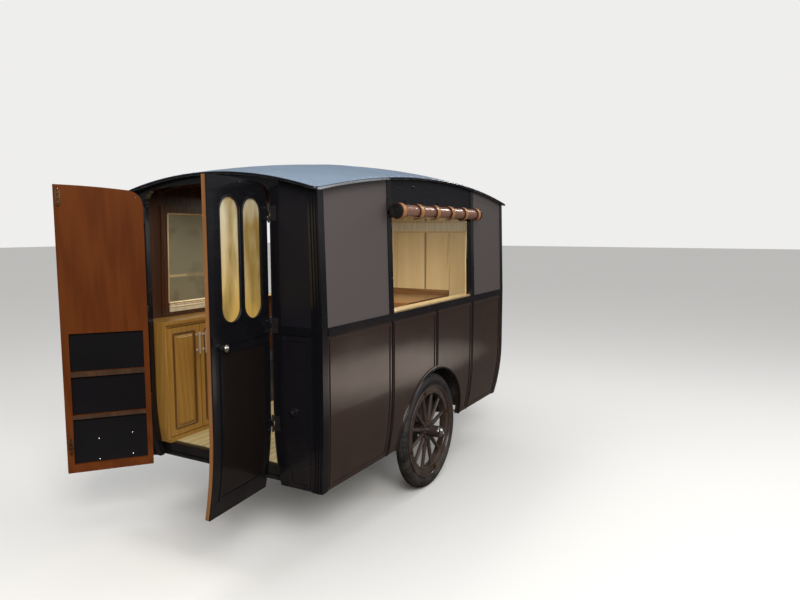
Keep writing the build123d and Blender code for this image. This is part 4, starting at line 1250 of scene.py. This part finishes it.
class TRAILER_OT_interior(bpy.types.Operator):
    """Line the cabin with boards, bows, battens, window trim and floor boards"""

    bl_idname = "trailer.interior"
    bl_label = "Cabin Lining"

    def execute(self, context):
        trim = context.scene.trailer_trim
        thickness = trim.lining_thickness
        inset = WALL + thickness

        def front_surface(u, v):
            z = FLOOR_TOP + v * (roof_at(1.2, u * 0.65, ROOF_THICKNESS + 0.006) - FLOOR_TOP)
            return at(end_at(z) - inset, u * (side_at(z) - inset - 0.001), z)

        bm = bmesh.new()
        add_shell(bm, front_surface, spread(-1, 1, 25), spread(0, 1, 25), thickness)
        piece("front_lining", bm, "cream_boards_across")

        ceiling = ROOF_THICKNESS + thickness + 0.001

        def lining_top(x):
            return roof_at(x, LINING_REACH, ROOF_THICKNESS + 0.008)

        us = spread(-LINING_HALF_LENGTH, WINDOW[0], 12)
        us += spread(WINDOW[0], WINDOW[1], 20)[1:]
        us += spread(WINDOW[1], LINING_HALF_LENGTH, 12)[1:]
        for name, side in SIDES:
            bm = bmesh.new()
            split = (WINDOW[3] - BELT_TOP) / (lining_top(0) - BELT_TOP)
            vs = spread(0, split, 8) + spread(split, 1, 5)[1:]

            def upper(u, v):
                z = BELT_TOP + v * (lining_top(u) - BELT_TOP)
                return at(u, side * (side_at(z) - inset), z)

            def beside_window(u, v):
                return not (WINDOW[0] < u < WINDOW[1] and v < split)

            add_shell(bm, upper, us, vs, thickness, beside_window)

            def lower(u, v):
                z = LINING_STEP + v * (BELT_TOP - LINING_STEP)
                return at(u * (end_at(z) - inset - 0.001), side * (side_at(z) - inset), z)

            add_shell(bm, lower, spread(-1, 1, 30), spread(0, 1, 6), thickness)
            for x_low, x_high in ((-1.0, HOUSING_ENDS[0]), (HOUSING_ENDS[1], 1.0)):

                def foot(u, v):
                    z = FLOOR_TOP + v * (LINING_STEP - FLOOR_TOP)
                    return at(u * (end_at(z) - inset - 0.001), side * (side_at(z) - inset), z)

                add_shell(bm, foot, spread(x_low, x_high, 10), spread(0, 1, 10), thickness)
            piece(f"side_lining_{name}", bm, "brown_boards")

        def ceiling_surface(u, v):
            x = u * 1.226
            y = v * (side_at(1.95) - inset - 0.002)
            return at(x, y, roof_at(x, y, ceiling))

        bm = bmesh.new()
        add_shell(bm, ceiling_surface, spread(-1, 1, 41), spread(-1, 1, 25), thickness)
        piece("ceiling_lining", bm, "brown_across")
        bm = bmesh.new()
        for x in spread(-1.05, 1.05, int(2.1 / trim.bow_pitch) + 1):
            stations = []
            for y in spread(-0.625, 0.625, 25):
                point = at(x, y, roof_at(x, y, ceiling + thickness))
                stations.append((point, Vector((1, 0, 0)), Vector((0, 0, -1))))
            sweep(bm, stations, flat_section(0.034, 0.016, 0.003))
        piece("ceiling_bows", bm, "brown_trim")
        bm = bmesh.new()
        width = BOARD_HALF_WIDTH
        counter_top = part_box("front_counter")[1][2] - GROUND
        for y in BATTEN_PLACES:
            stations = []
            for z in spread(counter_top + UPSTAND_HEIGHT, BATTEN_LEVELS[0], 10):
                stations.append((at(end_at(z) - inset, y, z), Vector((0, 1, 0)), Vector((-1, 0, 0))))
            sweep(bm, stations, flat_section(0.034, 0.006, 0.002))
        for z in BATTEN_LEVELS:
            face = end_at(z) - inset
            stations = [(at(face, y, z), Vector((0, 0, 1)), Vector((-1, 0, 0))) for y in (-width, width)]
            sweep(bm, stations, flat_section(0.016, 0.008, 0.003))
        piece("front_battens", bm, "cream_trim")
        bm = bmesh.new()
        face = HALF_LENGTH - inset
        add_box(bm, at(face - 0.005, -width, 1.704), at(face + 0.002, width, 1.780))
        piece("front_beadboard", bm, "beadboard")
        bm = bmesh.new()
        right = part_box("front_counter")[0][1]
        upstand_top = at(face, width, counter_top + UPSTAND_HEIGHT)
        add_box(bm, at(face - 0.014, right, counter_top), upstand_top, 0.002)
        piece("counter_upstand", bm, "counter_board")
        bm = bmesh.new()
        for _, side in SIDES:
            face = side * (side_at(1.5) - WALL - 0.002)
            rear, front, sill, head = WINDOW
            ledge = sorted((side * (HALF_WIDTH - 0.008), face - side * 0.045))
            add_box(bm, at(rear, ledge[0], sill), at(front, ledge[1], sill + 0.010), 0.002)
            depth = sorted((face - side * 0.002, face - side * 0.014))
            for low, high in (
                ((rear - 0.04, sill - 0.012), (rear, head + 0.04)),
                ((front, sill - 0.012), (front + 0.04, head + 0.04)),
                ((rear, head), (front, head + 0.04)),
            ):
                add_box(bm, at(low[0], depth[0], low[1]), at(high[0], depth[1], high[1]), 0.002)
        piece("window_trim", bm, "cream_trim")
        bm = bmesh.new()
        width = trim.board_width
        count = int(1.180 / width)
        for i in range(count):
            y = -0.590 + i * width
            clear = abs(y + width / 2) > 0.50
            ends = [BOARD_ENDS[0], *HOUSING_GAP, BOARD_ENDS[1]] if clear else BOARD_ENDS
            for x_low, x_high in zip(ends[::2], ends[1::2]):
                board_low = at(x_low, y + 0.0006, FLOOR_TOP - 0.001)
                add_box(bm, board_low, at(x_high, y + width - 0.0006, FLOOR_TOP + 0.005), 0.0012)
        piece("floor_strips", bm, "floor_boards")
        return {"FINISHED"}


class TRAILER_OT_kitchen(bpy.types.Operator):
    """Fit the cabinet's raised panels, the dark strips of painted shadow round them and handles, and the
    mirror's edge and ledge
    """

    bl_idname = "trailer.kitchen"
    bl_label = "Kitchen Fittings"

    def execute(self, context):
        for name, free in (("rear", 1), ("front", -1)):
            low, high = (Vector(corner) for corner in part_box(f"cabinet_door_{name}"))
            margin = 0.047
            bm = bmesh.new()
            face = low.y
            add_box(
                bm,
                (low.x + margin, face - 0.0015, low.z + margin),
                (high.x - margin, face + 0.012, high.z - margin),
            )
            front = [v for v in bm.verts if v.co.y < face]
            middle = (low + high) / 2
            for vert in front:
                vert.co.x += 0.014 if vert.co.x < middle.x else -0.014
                vert.co.z += 0.014 if vert.co.z < middle.z else -0.014
            rims = [e for e in bm.edges if e.verts[0] in front and e.verts[1] in front]
            bmesh.ops.bevel(bm, geom=rims, offset=0.003, segments=2, affect="EDGES")
            piece(f"cabinet_panel_{name}", bm, "oak_cabinet", f"cabinet_door_{name}")
            # Dark strips round the raised panel: painted shadow of the panel's recess
            bm = bmesh.new()
            reach = margin - 0.009
            xs = (low.x + reach, high.x - reach)
            zs = (low.z + reach, high.z - reach)
            for x in xs:
                stations = [(Vector((x, face, z)), Vector((1, 0, 0)), Vector((0, -1, 0))) for z in zs]
                sweep(bm, stations, half_round(0.016, 0.002))
            for z in zs:
                stations = [(Vector((x, face, z)), Vector((0, 0, 1)), Vector((0, -1, 0))) for x in xs]
                sweep(bm, stations, half_round(0.012, 0.002))
            piece(f"cabinet_panel_shadow_{name}", bm, "oak_shadow", f"cabinet_door_{name}")
            bm = bmesh.new()
            x = (high.x if free > 0 else low.x) - free * 0.024
            z = high.z - 0.115
            ends = [(x, face + 0.002, z + dz) for dz in (0.048, -0.048)]
            add_rod(bm, [ends[0], (x, face - 0.022, z + 0.048)], 0.0045)
            add_rod(bm, [ends[1], (x, face - 0.022, z - 0.048)], 0.0045)
            add_rod(bm, [(x, face - 0.026, z + dz) for dz in (0.068, 0.062, -0.062, -0.068)], 0.0060, 12)
            for end in ends:
                add_lathe(bm, [(0, 0.009), (0.004, 0.008)], facing(Vector(end), (0, -1, 0)), 12)
            piece(f"cabinet_handle_{name}", bm, "handle_nickel", f"cabinet_door_{name}")
        low, high = (Vector(corner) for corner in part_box("kitchen_cabinet"))
        self.mirror_trim()
        bm = bmesh.new()
        for x in (low.x + 0.002, high.x - 0.012):
            stations = [
                (Vector((x, low.y + 0.012, z)), Vector((1, 0, 0)), Vector((0, -1, 0)))
                for z in (low.z + 0.020, high.z - 0.024)
            ]
            sweep(bm, stations, half_round(0.012, 0.004))
        piece("cabinet_stile_beads", bm, "oak_cabinet")
        return {"FINISHED"}

    def mirror_trim(self):
        """A golden edge round the glass, and a pale ledge with two beads on the frame's foot."""
        (rear, _, base), (front, _, head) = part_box("mirror_glass")

        def face(z, proud):
            return side_at(z - GROUND) - WALL - proud

        bm = bmesh.new()
        for x in (rear, front):
            stations = [
                (Vector((x, face(z, 0.008), z)), Vector((1, 0, 0)), Vector((0, -1, 0)))
                for z in spread(base, head, 8)
            ]
            sweep(bm, stations, half_round(0.014, 0.010))
        for z in (base, head):
            stations = [
                (Vector((x, face(z, 0.008), z)), Vector((0, 0, 1)), Vector((0, -1, 0)))
                for x in (rear, front)
            ]
            sweep(bm, stations, half_round(0.014, 0.010))
        piece("mirror_edge", bm, "cream_trim")
        bm = bmesh.new()
        low = base - 0.056
        wall_y = face(low, 0.014)
        add_box(bm, (rear, wall_y - 0.006, low), (front, wall_y + 0.004, low + 0.044), 0.001)
        piece("mirror_ledge", bm, "beadboard")
        bm = bmesh.new()
        for z in (low + 0.030, low + 0.046):
            ends = [Vector((x, wall_y - 0.006, z)) for x in (rear, front)]
            stations = [(point, Vector((0, 0, 1)), Vector((0, -1, 0))) for point in ends]
            sweep(bm, stations, half_round(0.008, 0.004))
        piece("mirror_ledge_lines", bm, "cream_trim")


class TRAILER_OT_door_fittings(bpy.types.Operator):
    """Fit the rear doors: pane mouldings, pocket boards, barrel bolts, screws and hinge screws"""

    bl_idname = "trailer.door_fittings"
    bl_label = "Door Fittings"

    def execute(self, context):
        self.right_door(context)
        self.left_door(context)
        self.hinges(context)
        self.port(context)
        return {"FINISHED"}

    def right_door(self, context):
        """Mouldings round the panes, screws, and the knob with its rose."""
        place = door_place("right")
        bm = bmesh.new()
        for centre in PANE_CENTRES:
            stations = []
            half = PANE_WIDTH / 2
            ends = ((PANE_LEVELS[1] - half, 0.0), (PANE_LEVELS[0] + half, math.pi))
            for z, start in ends:
                for a in spread(start, start + math.pi, 15):
                    out = Vector((math.cos(a), 0, math.sin(a)))
                    point = Vector((centre, 0.0, z)) + out * (half + 0.004)
                    stations.append(
                        (place @ point, place.to_3x3() @ out, place.to_3x3() @ Vector((0, 1, 0)))
                    )
            sweep(bm, stations, half_round(0.012, 0.004), closed=True)
        piece("pane_mouldings", bm, "black_gloss", "rear_door_right")
        bm = bmesh.new()
        for w, z in ((0.22, 1.945), (0.43, 1.20), (0.03, 1.20)):
            add_dome(bm, place @ Vector((w, 0.0, z)), place.to_3x3() @ Vector((0, 1, 0)), 0.0035, 0.002, 8)
        piece("right_door_screws", bm, "nickel", "rear_door_right")
        outward = place.to_3x3() @ Vector((0, 1, 0))
        axis = facing(place @ Vector(KNOB), outward)
        bm = bmesh.new()
        add_lathe(
            bm, [(-0.002, 0.015), (0.002, 0.015), (0.004, 0.012), (0.005, 0.007), (0.016, 0.006)], axis, 24
        )
        piece("knob_rose", bm, "black_iron_paint", "rear_door_right")
        bm = bmesh.new()
        ball = [(0.026 + 0.012 * math.sin(t), 0.019 * math.cos(t)) for t in spread(-1.2, 1.45, 12)]
        add_lathe(bm, [(0.010, 0.0075), *ball, (0.038, 0.0)], axis, 28)
        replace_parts(piece("door_knob", bm, "nickel", "rear_door_right"), "door_right_knob")

    def left_door(self, context):
        """Pocket boards with their screws and rails, and a barrel bolt at top and foot."""
        place = door_place("left")
        turn = place.to_3x3()
        inward = turn @ Vector((0, -1, 0))
        for index, (z_low, z_high) in enumerate(POCKETS):

            def pocket(u, v):
                w = POCKET_STILES[0] + u * (DOOR_WIDTH - sum(POCKET_STILES))
                z = z_low + 0.0015 + v * (z_high - z_low - 0.003)
                belly = 0.0012 * math.sin(math.pi * u) * math.sin(math.pi * v)
                return place @ Vector((w, -tucked(z, END_TUCK) - 0.0105 - belly, z))

            bm = bmesh.new()
            add_shell(bm, pocket, spread(0, 1, 14), spread(0, 1, 12), 0.002)
            piece(f"pocket_board_{index}", bm, "pocket_cloth", "rear_door_left")
        bm = bmesh.new()
        for w, z in ((0.289, 0.53), (0.112, 0.545), (0.289, 0.415), (0.112, 0.425)):
            depth = -tucked(z, END_TUCK) - 0.0125
            add_dome(bm, place @ Vector((w, depth, z)), inward, 0.006, 0.004, 12)
        for w, z in ((0.43, 1.94), (0.04, 1.90)):
            add_dome(bm, place @ Vector((w, -WALL, z)), inward, 0.0045, 0.003, 10)
        piece("pocket_screws", bm, "nickel", "rear_door_left")
        bm = bmesh.new()
        for z_low, z_high in ((POCKETS[1][1], POCKETS[2][0]), (POCKETS[0][1], POCKETS[1][0])):

            def rail(u, v):
                w = 0.032 + u * (DOOR_WIDTH - 0.072)
                z = z_low + v * (z_high - z_low)
                return place @ Vector((w, -tucked(z, END_TUCK) - WALL - 0.0018, z))

            add_shell(bm, rail, spread(0, 1, 4), spread(0, 1, 3), 0.0016)
        piece("pocket_rails", bm, "door_rail", "rear_door_left")
        bm = bmesh.new()
        for z in BOLT_LEVELS:
            depth = -tucked(z, END_TUCK) - WALL
            w = DOOR_WIDTH - 0.025
            plate = Matrix.Translation(place @ Vector((w, depth, z))) @ turn.to_4x4()
            add_box(bm, (-0.013, -0.003, -0.040), (0.013, 0.0, 0.040), 0.001, plate)
            add_rod(bm, [plate @ Vector((0, -0.008, dz)) for dz in (-0.046, -0.02, 0.02, 0.046)], 0.0042, 12)
            for dz in (-0.026, 0.0, 0.026):
                add_box(bm, (-0.007, -0.0125, dz - 0.004), (0.007, -0.002, dz + 0.004), 0.0015, plate)
            handle = [plate @ Vector((0, -0.008, 0.013)), plate @ Vector((-0.004, -0.020, 0.013))]
            add_rod(bm, handle, 0.0025, 8)
            for dz in (-0.034, 0.034):
                for dw in (-0.009, 0.009):
                    add_dome(bm, plate @ Vector((dw, -0.003, dz)), inward, 0.0022, 0.0012, 8)
        bolts = piece("barrel_bolts", bm, "aged_brass", "rear_door_left")
        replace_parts(bolts, "door_left_bolts")

    def hinges(self, context):
        """Screws on each hinge's leaves and a tip on each pin."""
        radius = context.scene.trailer_trim.screw_radius
        fixed = bmesh.new()
        for side, (hinge_y, toward, _, body) in DOORS.items():
            place = door_place(side)
            out = place.to_3x3() @ Vector((0, 1, 0))
            moving = bmesh.new()
            for level in HINGE_LEVELS:
                for dz in (-0.026, 0.026):
                    z = level + dz
                    depth = 0.004 - tucked(z, END_TUCK)
                    for reach in (0.018, 0.031):
                        point = at(-HALF_LENGTH - depth, hinge_y - toward * reach, z)
                        add_dome(fixed, point, (-1, 0, 0), radius, 0.0018, 10)
                        add_dome(moving, place @ Vector((reach, depth, z)), out, radius, 0.0018, 10)
                for end in (-1, 1):
                    tip = at(HINGE_X, hinge_y, level + end * 0.039)
                    add_lathe(
                        fixed,
                        [(-0.001, 0.004), (0.002, 0.0062), (0.006, 0.005), (0.009, 0.0)],
                        facing(tip, (0, 0, end)),
                        12,
                    )
            piece(f"hinge_screws_{side}", moving, "black_iron_paint", body)
        piece("jamb_hinge_fittings", fixed, "black_iron_paint")

    def port(self, context):
        """Rings and screws of the round port on the rear panel."""
        bm = bmesh.new()
        y, z = PORT
        place = facing(at(-HALF_LENGTH - 0.008, y, z), (-1, 0, 0))
        add_lathe(bm, [(-0.001, 0.0215), (0.0015, 0.0205), (0.0015, 0.0165), (0.0, 0.0155)], place, 28)
        cap = facing(at(-HALF_LENGTH - 0.020, y, z), (-1, 0, 0))
        add_lathe(
            bm,
            [(-0.001, 0.0112), (0.0018, 0.0098), (0.0018, 0.004), (0.0006, 0.003), (0.0006, 0.0)],
            cap,
            24,
        )
        for a in (45, 135, 225, 315):
            offset = Vector((0, 0.0185 * math.cos(math.radians(a)), 0.0185 * math.sin(math.radians(a))))
            add_dome(bm, at(-HALF_LENGTH - 0.0085, y, z) + offset, (-1, 0, 0), 0.0022, 0.0015, 8)
        piece("port_fittings", bm, "black_iron_paint")


class TRAILER_OT_wheels(bpy.types.Operator):
    """Make treaded tyres and the wheels' rim beads, bolts, clips and valves"""

    bl_idname = "trailer.wheels"
    bl_label = "Wheels"

    def execute(self, context):
        looks = context.scene.trailer_tyre
        for name, side in SIDES:
            body = f"wheel_assembly_{name}"
            centre = at(WHEEL_X, side * WHEEL_TRACK, WHEEL_RADIUS)
            axle = facing(centre, (0, side, 0))
            tyre = self.tyre(name, looks, axle, body)
            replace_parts(tyre, f"tyre_{name}")
            self.fittings(name, looks, axle, body)
        return {"FINISHED"}

    def tyre(self, name, looks, axle, body):
        """Ribbed tread with notched shoulders over a plain sidewall."""
        depth = looks.groove_depth
        middle = WHEEL_RADIUS - TYRE_SECTION
        sidewall = TYRE_SECTION - 0.0005
        profile = [(-0.024, 0.3052, 0), (-0.0265, 0.312, 0), (-0.028, 0.318, 0), (-0.0285, 0.3205, 0)]
        for degrees in (-40, -28, -14, 2, 18, 30):
            a = math.radians(degrees)
            profile.append((-sidewall * math.cos(a), middle + sidewall * math.sin(a), 0))
        for degrees, row in ((40, 1), (50, 1)):
            a = math.radians(degrees)
            profile.append((-TYRE_SECTION * math.cos(a), middle + TYRE_SECTION * math.sin(a), row))
        for across, sunk in ((0.0195, 1), (0.0175, 0), (0.0085, 0), (0.0075, 1), (0.0045, 1), (0.0035, 0)):
            radius = middle + math.sqrt(TYRE_SECTION**2 - across**2) - depth * sunk
            profile.append((-across, radius, 0))
        profile += [(-across, radius, row) for across, radius, row in reversed(profile)]
        bm = bmesh.new()
        steps = looks.tread_blocks * 4
        rings = []
        for across, radius, row in profile:
            ring = []
            for step in range(steps):
                shift = 2 if across > 0 else 0
                notch = depth if row and (step + shift) % 4 == 0 else 0.0
                a = 2 * math.pi * (step + (0.35 if row and (step + shift) % 4 == 3 else 0)) / steps
                ring.append(bm.verts.new(axle @ on_circle(radius - notch, a, across)))
            rings.append(ring)
        for low, high in zip(rings, rings[1:] + rings[:1]):
            for step in range(steps):
                bm.faces.new((low[step], low[(step + 1) % steps], high[(step + 1) % steps], high[step]))
        return piece(f"tyre_tread_{name}", bm, "rubber", body, smooth=40.0)

    def fittings(self, name, looks, axle, body):
        """Beads on the rim and the felloe, bolts, rim clips, the valve's stem and the hub's rings."""
        bm = bmesh.new()
        for radius, across, thickness, steps in RIM_BEADS:
            ring = [axle @ on_circle(radius, a, across) for a in steps_round(72)]
            add_rod(bm, ring, thickness, steps, closed=True)
        piece(f"rim_beads_{name}", bm, "wheel_brown", body)
        bm = bmesh.new()
        outward = axle.to_3x3() @ Vector((0, 0, 1))
        for i in range(looks.hub_bolts):
            a = 2 * math.pi * i / looks.hub_bolts
            for end in (-1, 1):
                point = axle @ on_circle(HUB_BOLT_CIRCLE, a, end * 0.022)
                nut = [(-0.001, 0.0085), (0.0065, 0.0085), (0.0075, 0.0075), (0.0075, 0.004)]
                nut += [(0.012, 0.0035), (0.012, 0)]
                add_lathe(bm, nut, facing(point, outward * end), 6)
        for a in steps_round(SPOKES):
            add_dome(bm, axle @ on_circle(FELLOE_BOLT_CIRCLE, a, 0.023), outward, 0.0055, 0.0035, 10)
        piece(f"wheel_bolts_{name}", bm, "black_iron_paint", body)
        bm = bmesh.new()
        for i in range(4):
            a = math.radians(90 * i + 15)
            turn = axle @ Matrix.Rotation(a, 4, "Z")
            add_box(bm, (0.262, -0.013, 0.022), (0.292, 0.013, 0.0265), 0.0015, turn)
            add_box(bm, (0.288, -0.011, 0.022), (0.302, 0.011, 0.031), 0.002, turn)
            place = facing(turn @ Vector((FELLOE_BOLT_CIRCLE, 0, 0.026)), outward)
            add_nut(bm, place, 0.0085, 0.007, 0.008, foot=0.0)
        piece(f"rim_clips_{name}", bm, "aged_brass", body)
        bm = bmesh.new()
        turn = axle @ Matrix.Rotation(math.radians(45), 4, "Z")
        stem = [turn @ Vector((r, 0, 0.004)) for r in (0.252, 0.245, 0.243, 0.222, 0.218)]
        add_rod(bm, stem, 0.0038, 10)
        hub = [(0.0935, 0.0345), (0.099, 0.0345), (0.100, 0.033), (0.100, 0.0305)]
        add_lathe(bm, hub + [(0.0935, 0.0305)], axle, 32)
        cap = [(0.1215, 0.0165), (0.1245, 0.0155), (0.1245, 0.009), (0.122, 0.008)]
        add_lathe(bm, cap, axle, 6)
        piece(f"hub_fittings_{name}", bm, "nickel", body)


class TRAILER_OT_running_gear(bpy.types.Operator):
    """Add the sill board, U-bolts, clips, nuts and bolts of the springs, frame, drawbar and stand"""

    bl_idname = "trailer.running_gear"
    bl_label = "Running Gear"

    def execute(self, context):
        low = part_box("end_sills")[0]
        bm = bmesh.new()
        board_low = (low[0] + 0.003, -SILL_BOARD_REACH, low[2] - SILL_BOARD_DROP)
        add_box(bm, board_low, (low[0] + 0.022, SILL_BOARD_REACH, low[2] + 0.002), 0.002)
        piece("sill_board", bm, "black_gloss")
        bm = bmesh.new()
        springs_low, springs_high = (Vector(corner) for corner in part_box("leaf_springs"))
        beam_low = Vector(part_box("axle")[0])
        for side in (-1, 1):
            y_middle = side * RAIL_Y
            for dx in (-0.026, 0.026):
                x = MIDDLE_X + WHEEL_X + dx
                top = springs_low.z + 0.030
                points = [(x, y_middle - U_BOLT_REACH, beam_low.z - 0.018)]
                for a in spread(math.pi, 0, 9):
                    y = y_middle + U_BOLT_REACH * math.cos(a)
                    points.append((x, y, top + 0.004 + 0.012 * math.sin(a)))
                points.append((x, y_middle + U_BOLT_REACH, beam_low.z - 0.018))
                add_rod(bm, points, 0.0045, 8)
                for dy in (-U_BOLT_REACH, U_BOLT_REACH):
                    place = facing(Vector((x, y_middle + dy, beam_low.z - 0.004)), (0, 0, -1))
                    add_nut(bm, place, 0.009, 0.007, 0.009, foot=0.0)
            low = (MIDDLE_X + WHEEL_X - 0.045, y_middle - 0.036, beam_low.z - 0.005)
            high = (MIDDLE_X + WHEEL_X + 0.045, y_middle + 0.036, beam_low.z)
            add_box(bm, low, high, 0.001)
            for end in (-1, 1):
                x = MIDDLE_X + WHEEL_X + end * SPRING_HALF_LENGTH
                for face in (-1, 1):
                    eye = Vector((x, y_middle + face * 0.025, springs_high.z - 0.018))
                    add_nut(bm, facing(eye, (0, face, 0)), 0.011, 0.009, 0.008, foot=0.002)
                clip = MIDDLE_X + WHEEL_X + end * SPRING_CLIP_X
                height = springs_low.z + 0.018
                add_box(
                    bm,
                    (clip - 0.009, y_middle - 0.025, height - 0.004),
                    (clip + 0.009, y_middle + 0.025, height + 0.024),
                    0.001,
                )
        piece("spring_fittings", bm, "black_iron_paint")
        bm = bmesh.new()
        members_low = Vector(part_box("cross_members")[0])
        for x in CROSS_MEMBER_PLACES:
            for y in (-RAIL_Y, RAIL_Y):
                for dx in (-0.017, 0.017):
                    place = facing(at(x + dx, y, members_low.z - GROUND), (0, 0, -1))
                    add_nut(bm, place, 0.0095, 0.008, 0.008)
        coupling_low, coupling_high = (Vector(corner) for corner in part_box("coupling"))
        for x in COUPLING_BOLTS:
            half = -x * DRAWBAR_SPREAD
            for side in (-1, 1):
                for z, way in ((coupling_high.z, 1), (coupling_low.z, -1)):
                    place = facing(Vector((x, side * half, z)), (0, 0, way))
                    add_nut(bm, place, 0.0085, 0.007, 0.007)
        stand_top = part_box("stand_bracket")[1][2]
        for side in (-1, 1):
            place = facing(Vector((STAND_X, side * 0.030, -0.058)), (0, side, 0))
            add_nut(bm, place, 0.012, 0.010, 0.008)
            for dx in (-0.022, 0.022):
                spot = Vector((STAND_X + dx, -side * STAND_X * DRAWBAR_SPREAD, stand_top - 0.008))
                add_lathe(bm, [(-0.001, 0.008), (0.006, 0.008), (0.006, 0)], facing(spot, (0, 0, -1)), 6)
        piece("frame_bolts", bm, "black_iron_paint")
        return {"FINISHED"}


class TRAILER_OT_studio(bpy.types.Operator):
    """Set the floor, background, soft lights and camera"""

    bl_idname = "trailer.studio"
    bl_label = "Studio"

    def execute(self, context):
        looks = context.scene.trailer_studio
        scene = context.scene
        bm = bmesh.new()
        bmesh.ops.create_grid(bm, x_segments=2, y_segments=2, size=60.0)
        mesh = bpy.data.meshes.new("studio_floor")
        bm.to_mesh(mesh)
        bm.free()
        floor = bpy.data.objects.new("studio_floor", mesh)
        floor.location = (0, 0, GROUND)
        scene.collection.objects.link(floor)
        material = bpy.data.materials.new("studio_floor")
        material.use_nodes = True
        tree = material.node_tree
        shader = tree.nodes["Principled BSDF"]
        seen = add_node(tree, "ShaderNodeLightPath").outputs["Is Camera Ray"]
        place = add_node(tree, "ShaderNodeTexCoord").outputs["Object"]
        # For reflections and bounced light the floor is dark with a painted pool of light, which puts a band
        # of painted reflection on the lower panels
        pool = {"Vector": place, "Location": PAINTED_POOL_CENTRE, "Scale": PAINTED_POOL_REACH}
        spread_out = add_node(tree, "ShaderNodeMapping", pool, vector_type="TEXTURE").outputs[0]
        lit = add_node(tree, "ShaderNodeTexGradient", {"Vector": spread_out}, gradient_type="SPHERICAL")
        soft = map_range(tree, lit.outputs["Fac"], 0.0, 0.6)
        bounce = mix_colour(tree, soft, opaque(looks.floor_bounce), opaque(looks.painted_light_pool))
        colour = mix_colour(tree, seen, bounce, opaque(looks.floor))
        tree.links.new(colour, shader.inputs["Base Color"])
        shader.inputs["Roughness"].default_value = 0.85
        shader.inputs["Specular IOR Level"].default_value = 0.1
        mesh.materials.append(material)
        self.world(scene, looks)
        self.lights(scene, looks)
        self.camera(scene, looks)
        scene.view_settings.view_transform = "Standard"
        return {"FINISHED"}

    def world(self, scene, looks):
        world = bpy.data.worlds.new("studio_world")
        world.use_nodes = True
        tree = world.node_tree
        background = tree.nodes["Background"]
        path = add_node(tree, "ShaderNodeLightPath").outputs
        seen = math_node(tree, "MAXIMUM", path["Is Camera Ray"], path["Is Transmission Ray"])
        unlit = map_range(tree, path["Is Glossy Ray"], 0.0, 1.0, 0.60, 0.16)
        strength = map_range(tree, seen, 0.0, 1.0, unlit, 0.86)
        tree.links.new(strength, background.inputs["Strength"])
        background.inputs["Color"].default_value = (1.0, 0.995, 0.985, 1.0)
        scene.world = world

    def lights(self, scene, looks):
        for name, place, target, size, power, colour in (
            ("key_light", (-5.2, -4.6, 4.6), (-0.2, 0, 1.1), 3.2, looks.key_power, (1.0, 0.97, 0.93)),
            ("fill_light", (2.5, -6.5, 3.2), (0, 0, 1.0), 4.0, looks.fill_power, (0.93, 0.96, 1.0)),
            ("top_light", (-0.5, 0.5, 5.6), (0, 0, 1.0), 4.5, looks.fill_power, (0.96, 0.98, 1.0)),
            ("roll_light", (3.6, -1.5, 3.4), (0, -0.74, 1.82), 0.4, looks.roll_power, (1.0, 0.95, 0.9)),
            ("cabin_light", (0.1, 0.0, 1.93), (0.1, 0, 0.5), 0.7, looks.cabin_power, (1.0, 0.93, 0.8)),
        ):
            light = bpy.data.lights.new(name, "AREA")
            light.shape = "SQUARE"
            light.size = size
            light.energy = power
            light.color = colour
            lamp = bpy.data.objects.new(name, light)
            lamp.matrix_world = facing(at(*place), at(*place) - at(*target))
            lamp.visible_camera = False
            scene.collection.objects.link(lamp)

    def camera(self, scene, looks):
        data = bpy.data.cameras.new("camera")
        data.sensor_width = 36.0
        data.lens = looks.lens
        camera = bpy.data.objects.new("camera", data)
        yaw = math.radians(CAMERA_YAW)
        pitch = math.radians(CAMERA_PITCH)
        forward = Vector((math.cos(pitch) * math.cos(yaw), math.cos(pitch) * math.sin(yaw), math.sin(pitch)))
        camera.location = at(*CAMERA_PLACE)
        camera.rotation_euler = forward.to_track_quat("-Z", "Y").to_euler()
        scene.collection.objects.link(camera)
        scene.camera = camera


PROPERTY_GROUPS = {
    "trailer_finishes": TrailerFinishes,
    "trailer_trim": TrailerTrim,
    "trailer_curtain": TrailerCurtain,
    "trailer_tyre": TrailerTyre,
    "trailer_studio": TrailerStudio,
}
OPERATORS = (
    TRAILER_OT_studio,
    TRAILER_OT_finishes,
    TRAILER_OT_roof_trim,
    TRAILER_OT_body_trim,
    TRAILER_OT_curtains,
    TRAILER_OT_interior,
    TRAILER_OT_kitchen,
    TRAILER_OT_door_fittings,
    TRAILER_OT_wheels,
    TRAILER_OT_running_gear,
)


class TRAILER_PT_sidebar(bpy.types.Panel):
    """The trailer's sizes, colours and pieces"""

    bl_idname = "TRAILER_PT_sidebar"
    bl_label = "Trailer"
    bl_space_type = "VIEW_3D"
    bl_region_type = "UI"
    bl_category = "Trailer"

    def draw(self, context):
        layout = self.layout
        for operator in OPERATORS:
            layout.operator(operator.bl_idname)
        for name, group in PROPERTY_GROUPS.items():
            box = layout.box()
            for key in group.__annotations__:
                box.prop(getattr(context.scene, name), key)


def register():
    for cls in (*PROPERTY_GROUPS.values(), *OPERATORS, TRAILER_PT_sidebar):
        bpy.utils.register_class(cls)
    for name, group in PROPERTY_GROUPS.items():
        setattr(bpy.types.Scene, name, PointerProperty(type=group))


def unregister():
    for name in PROPERTY_GROUPS:
        delattr(bpy.types.Scene, name)
    for cls in reversed((*PROPERTY_GROUPS.values(), *OPERATORS, TRAILER_PT_sidebar)):
        bpy.utils.unregister_class(cls)


def main():
    register()
    for operator in OPERATORS:
        group, name = operator.bl_idname.split(".")
        getattr(getattr(bpy.ops, group), name)()


if __name__ == "__main__":
    main()
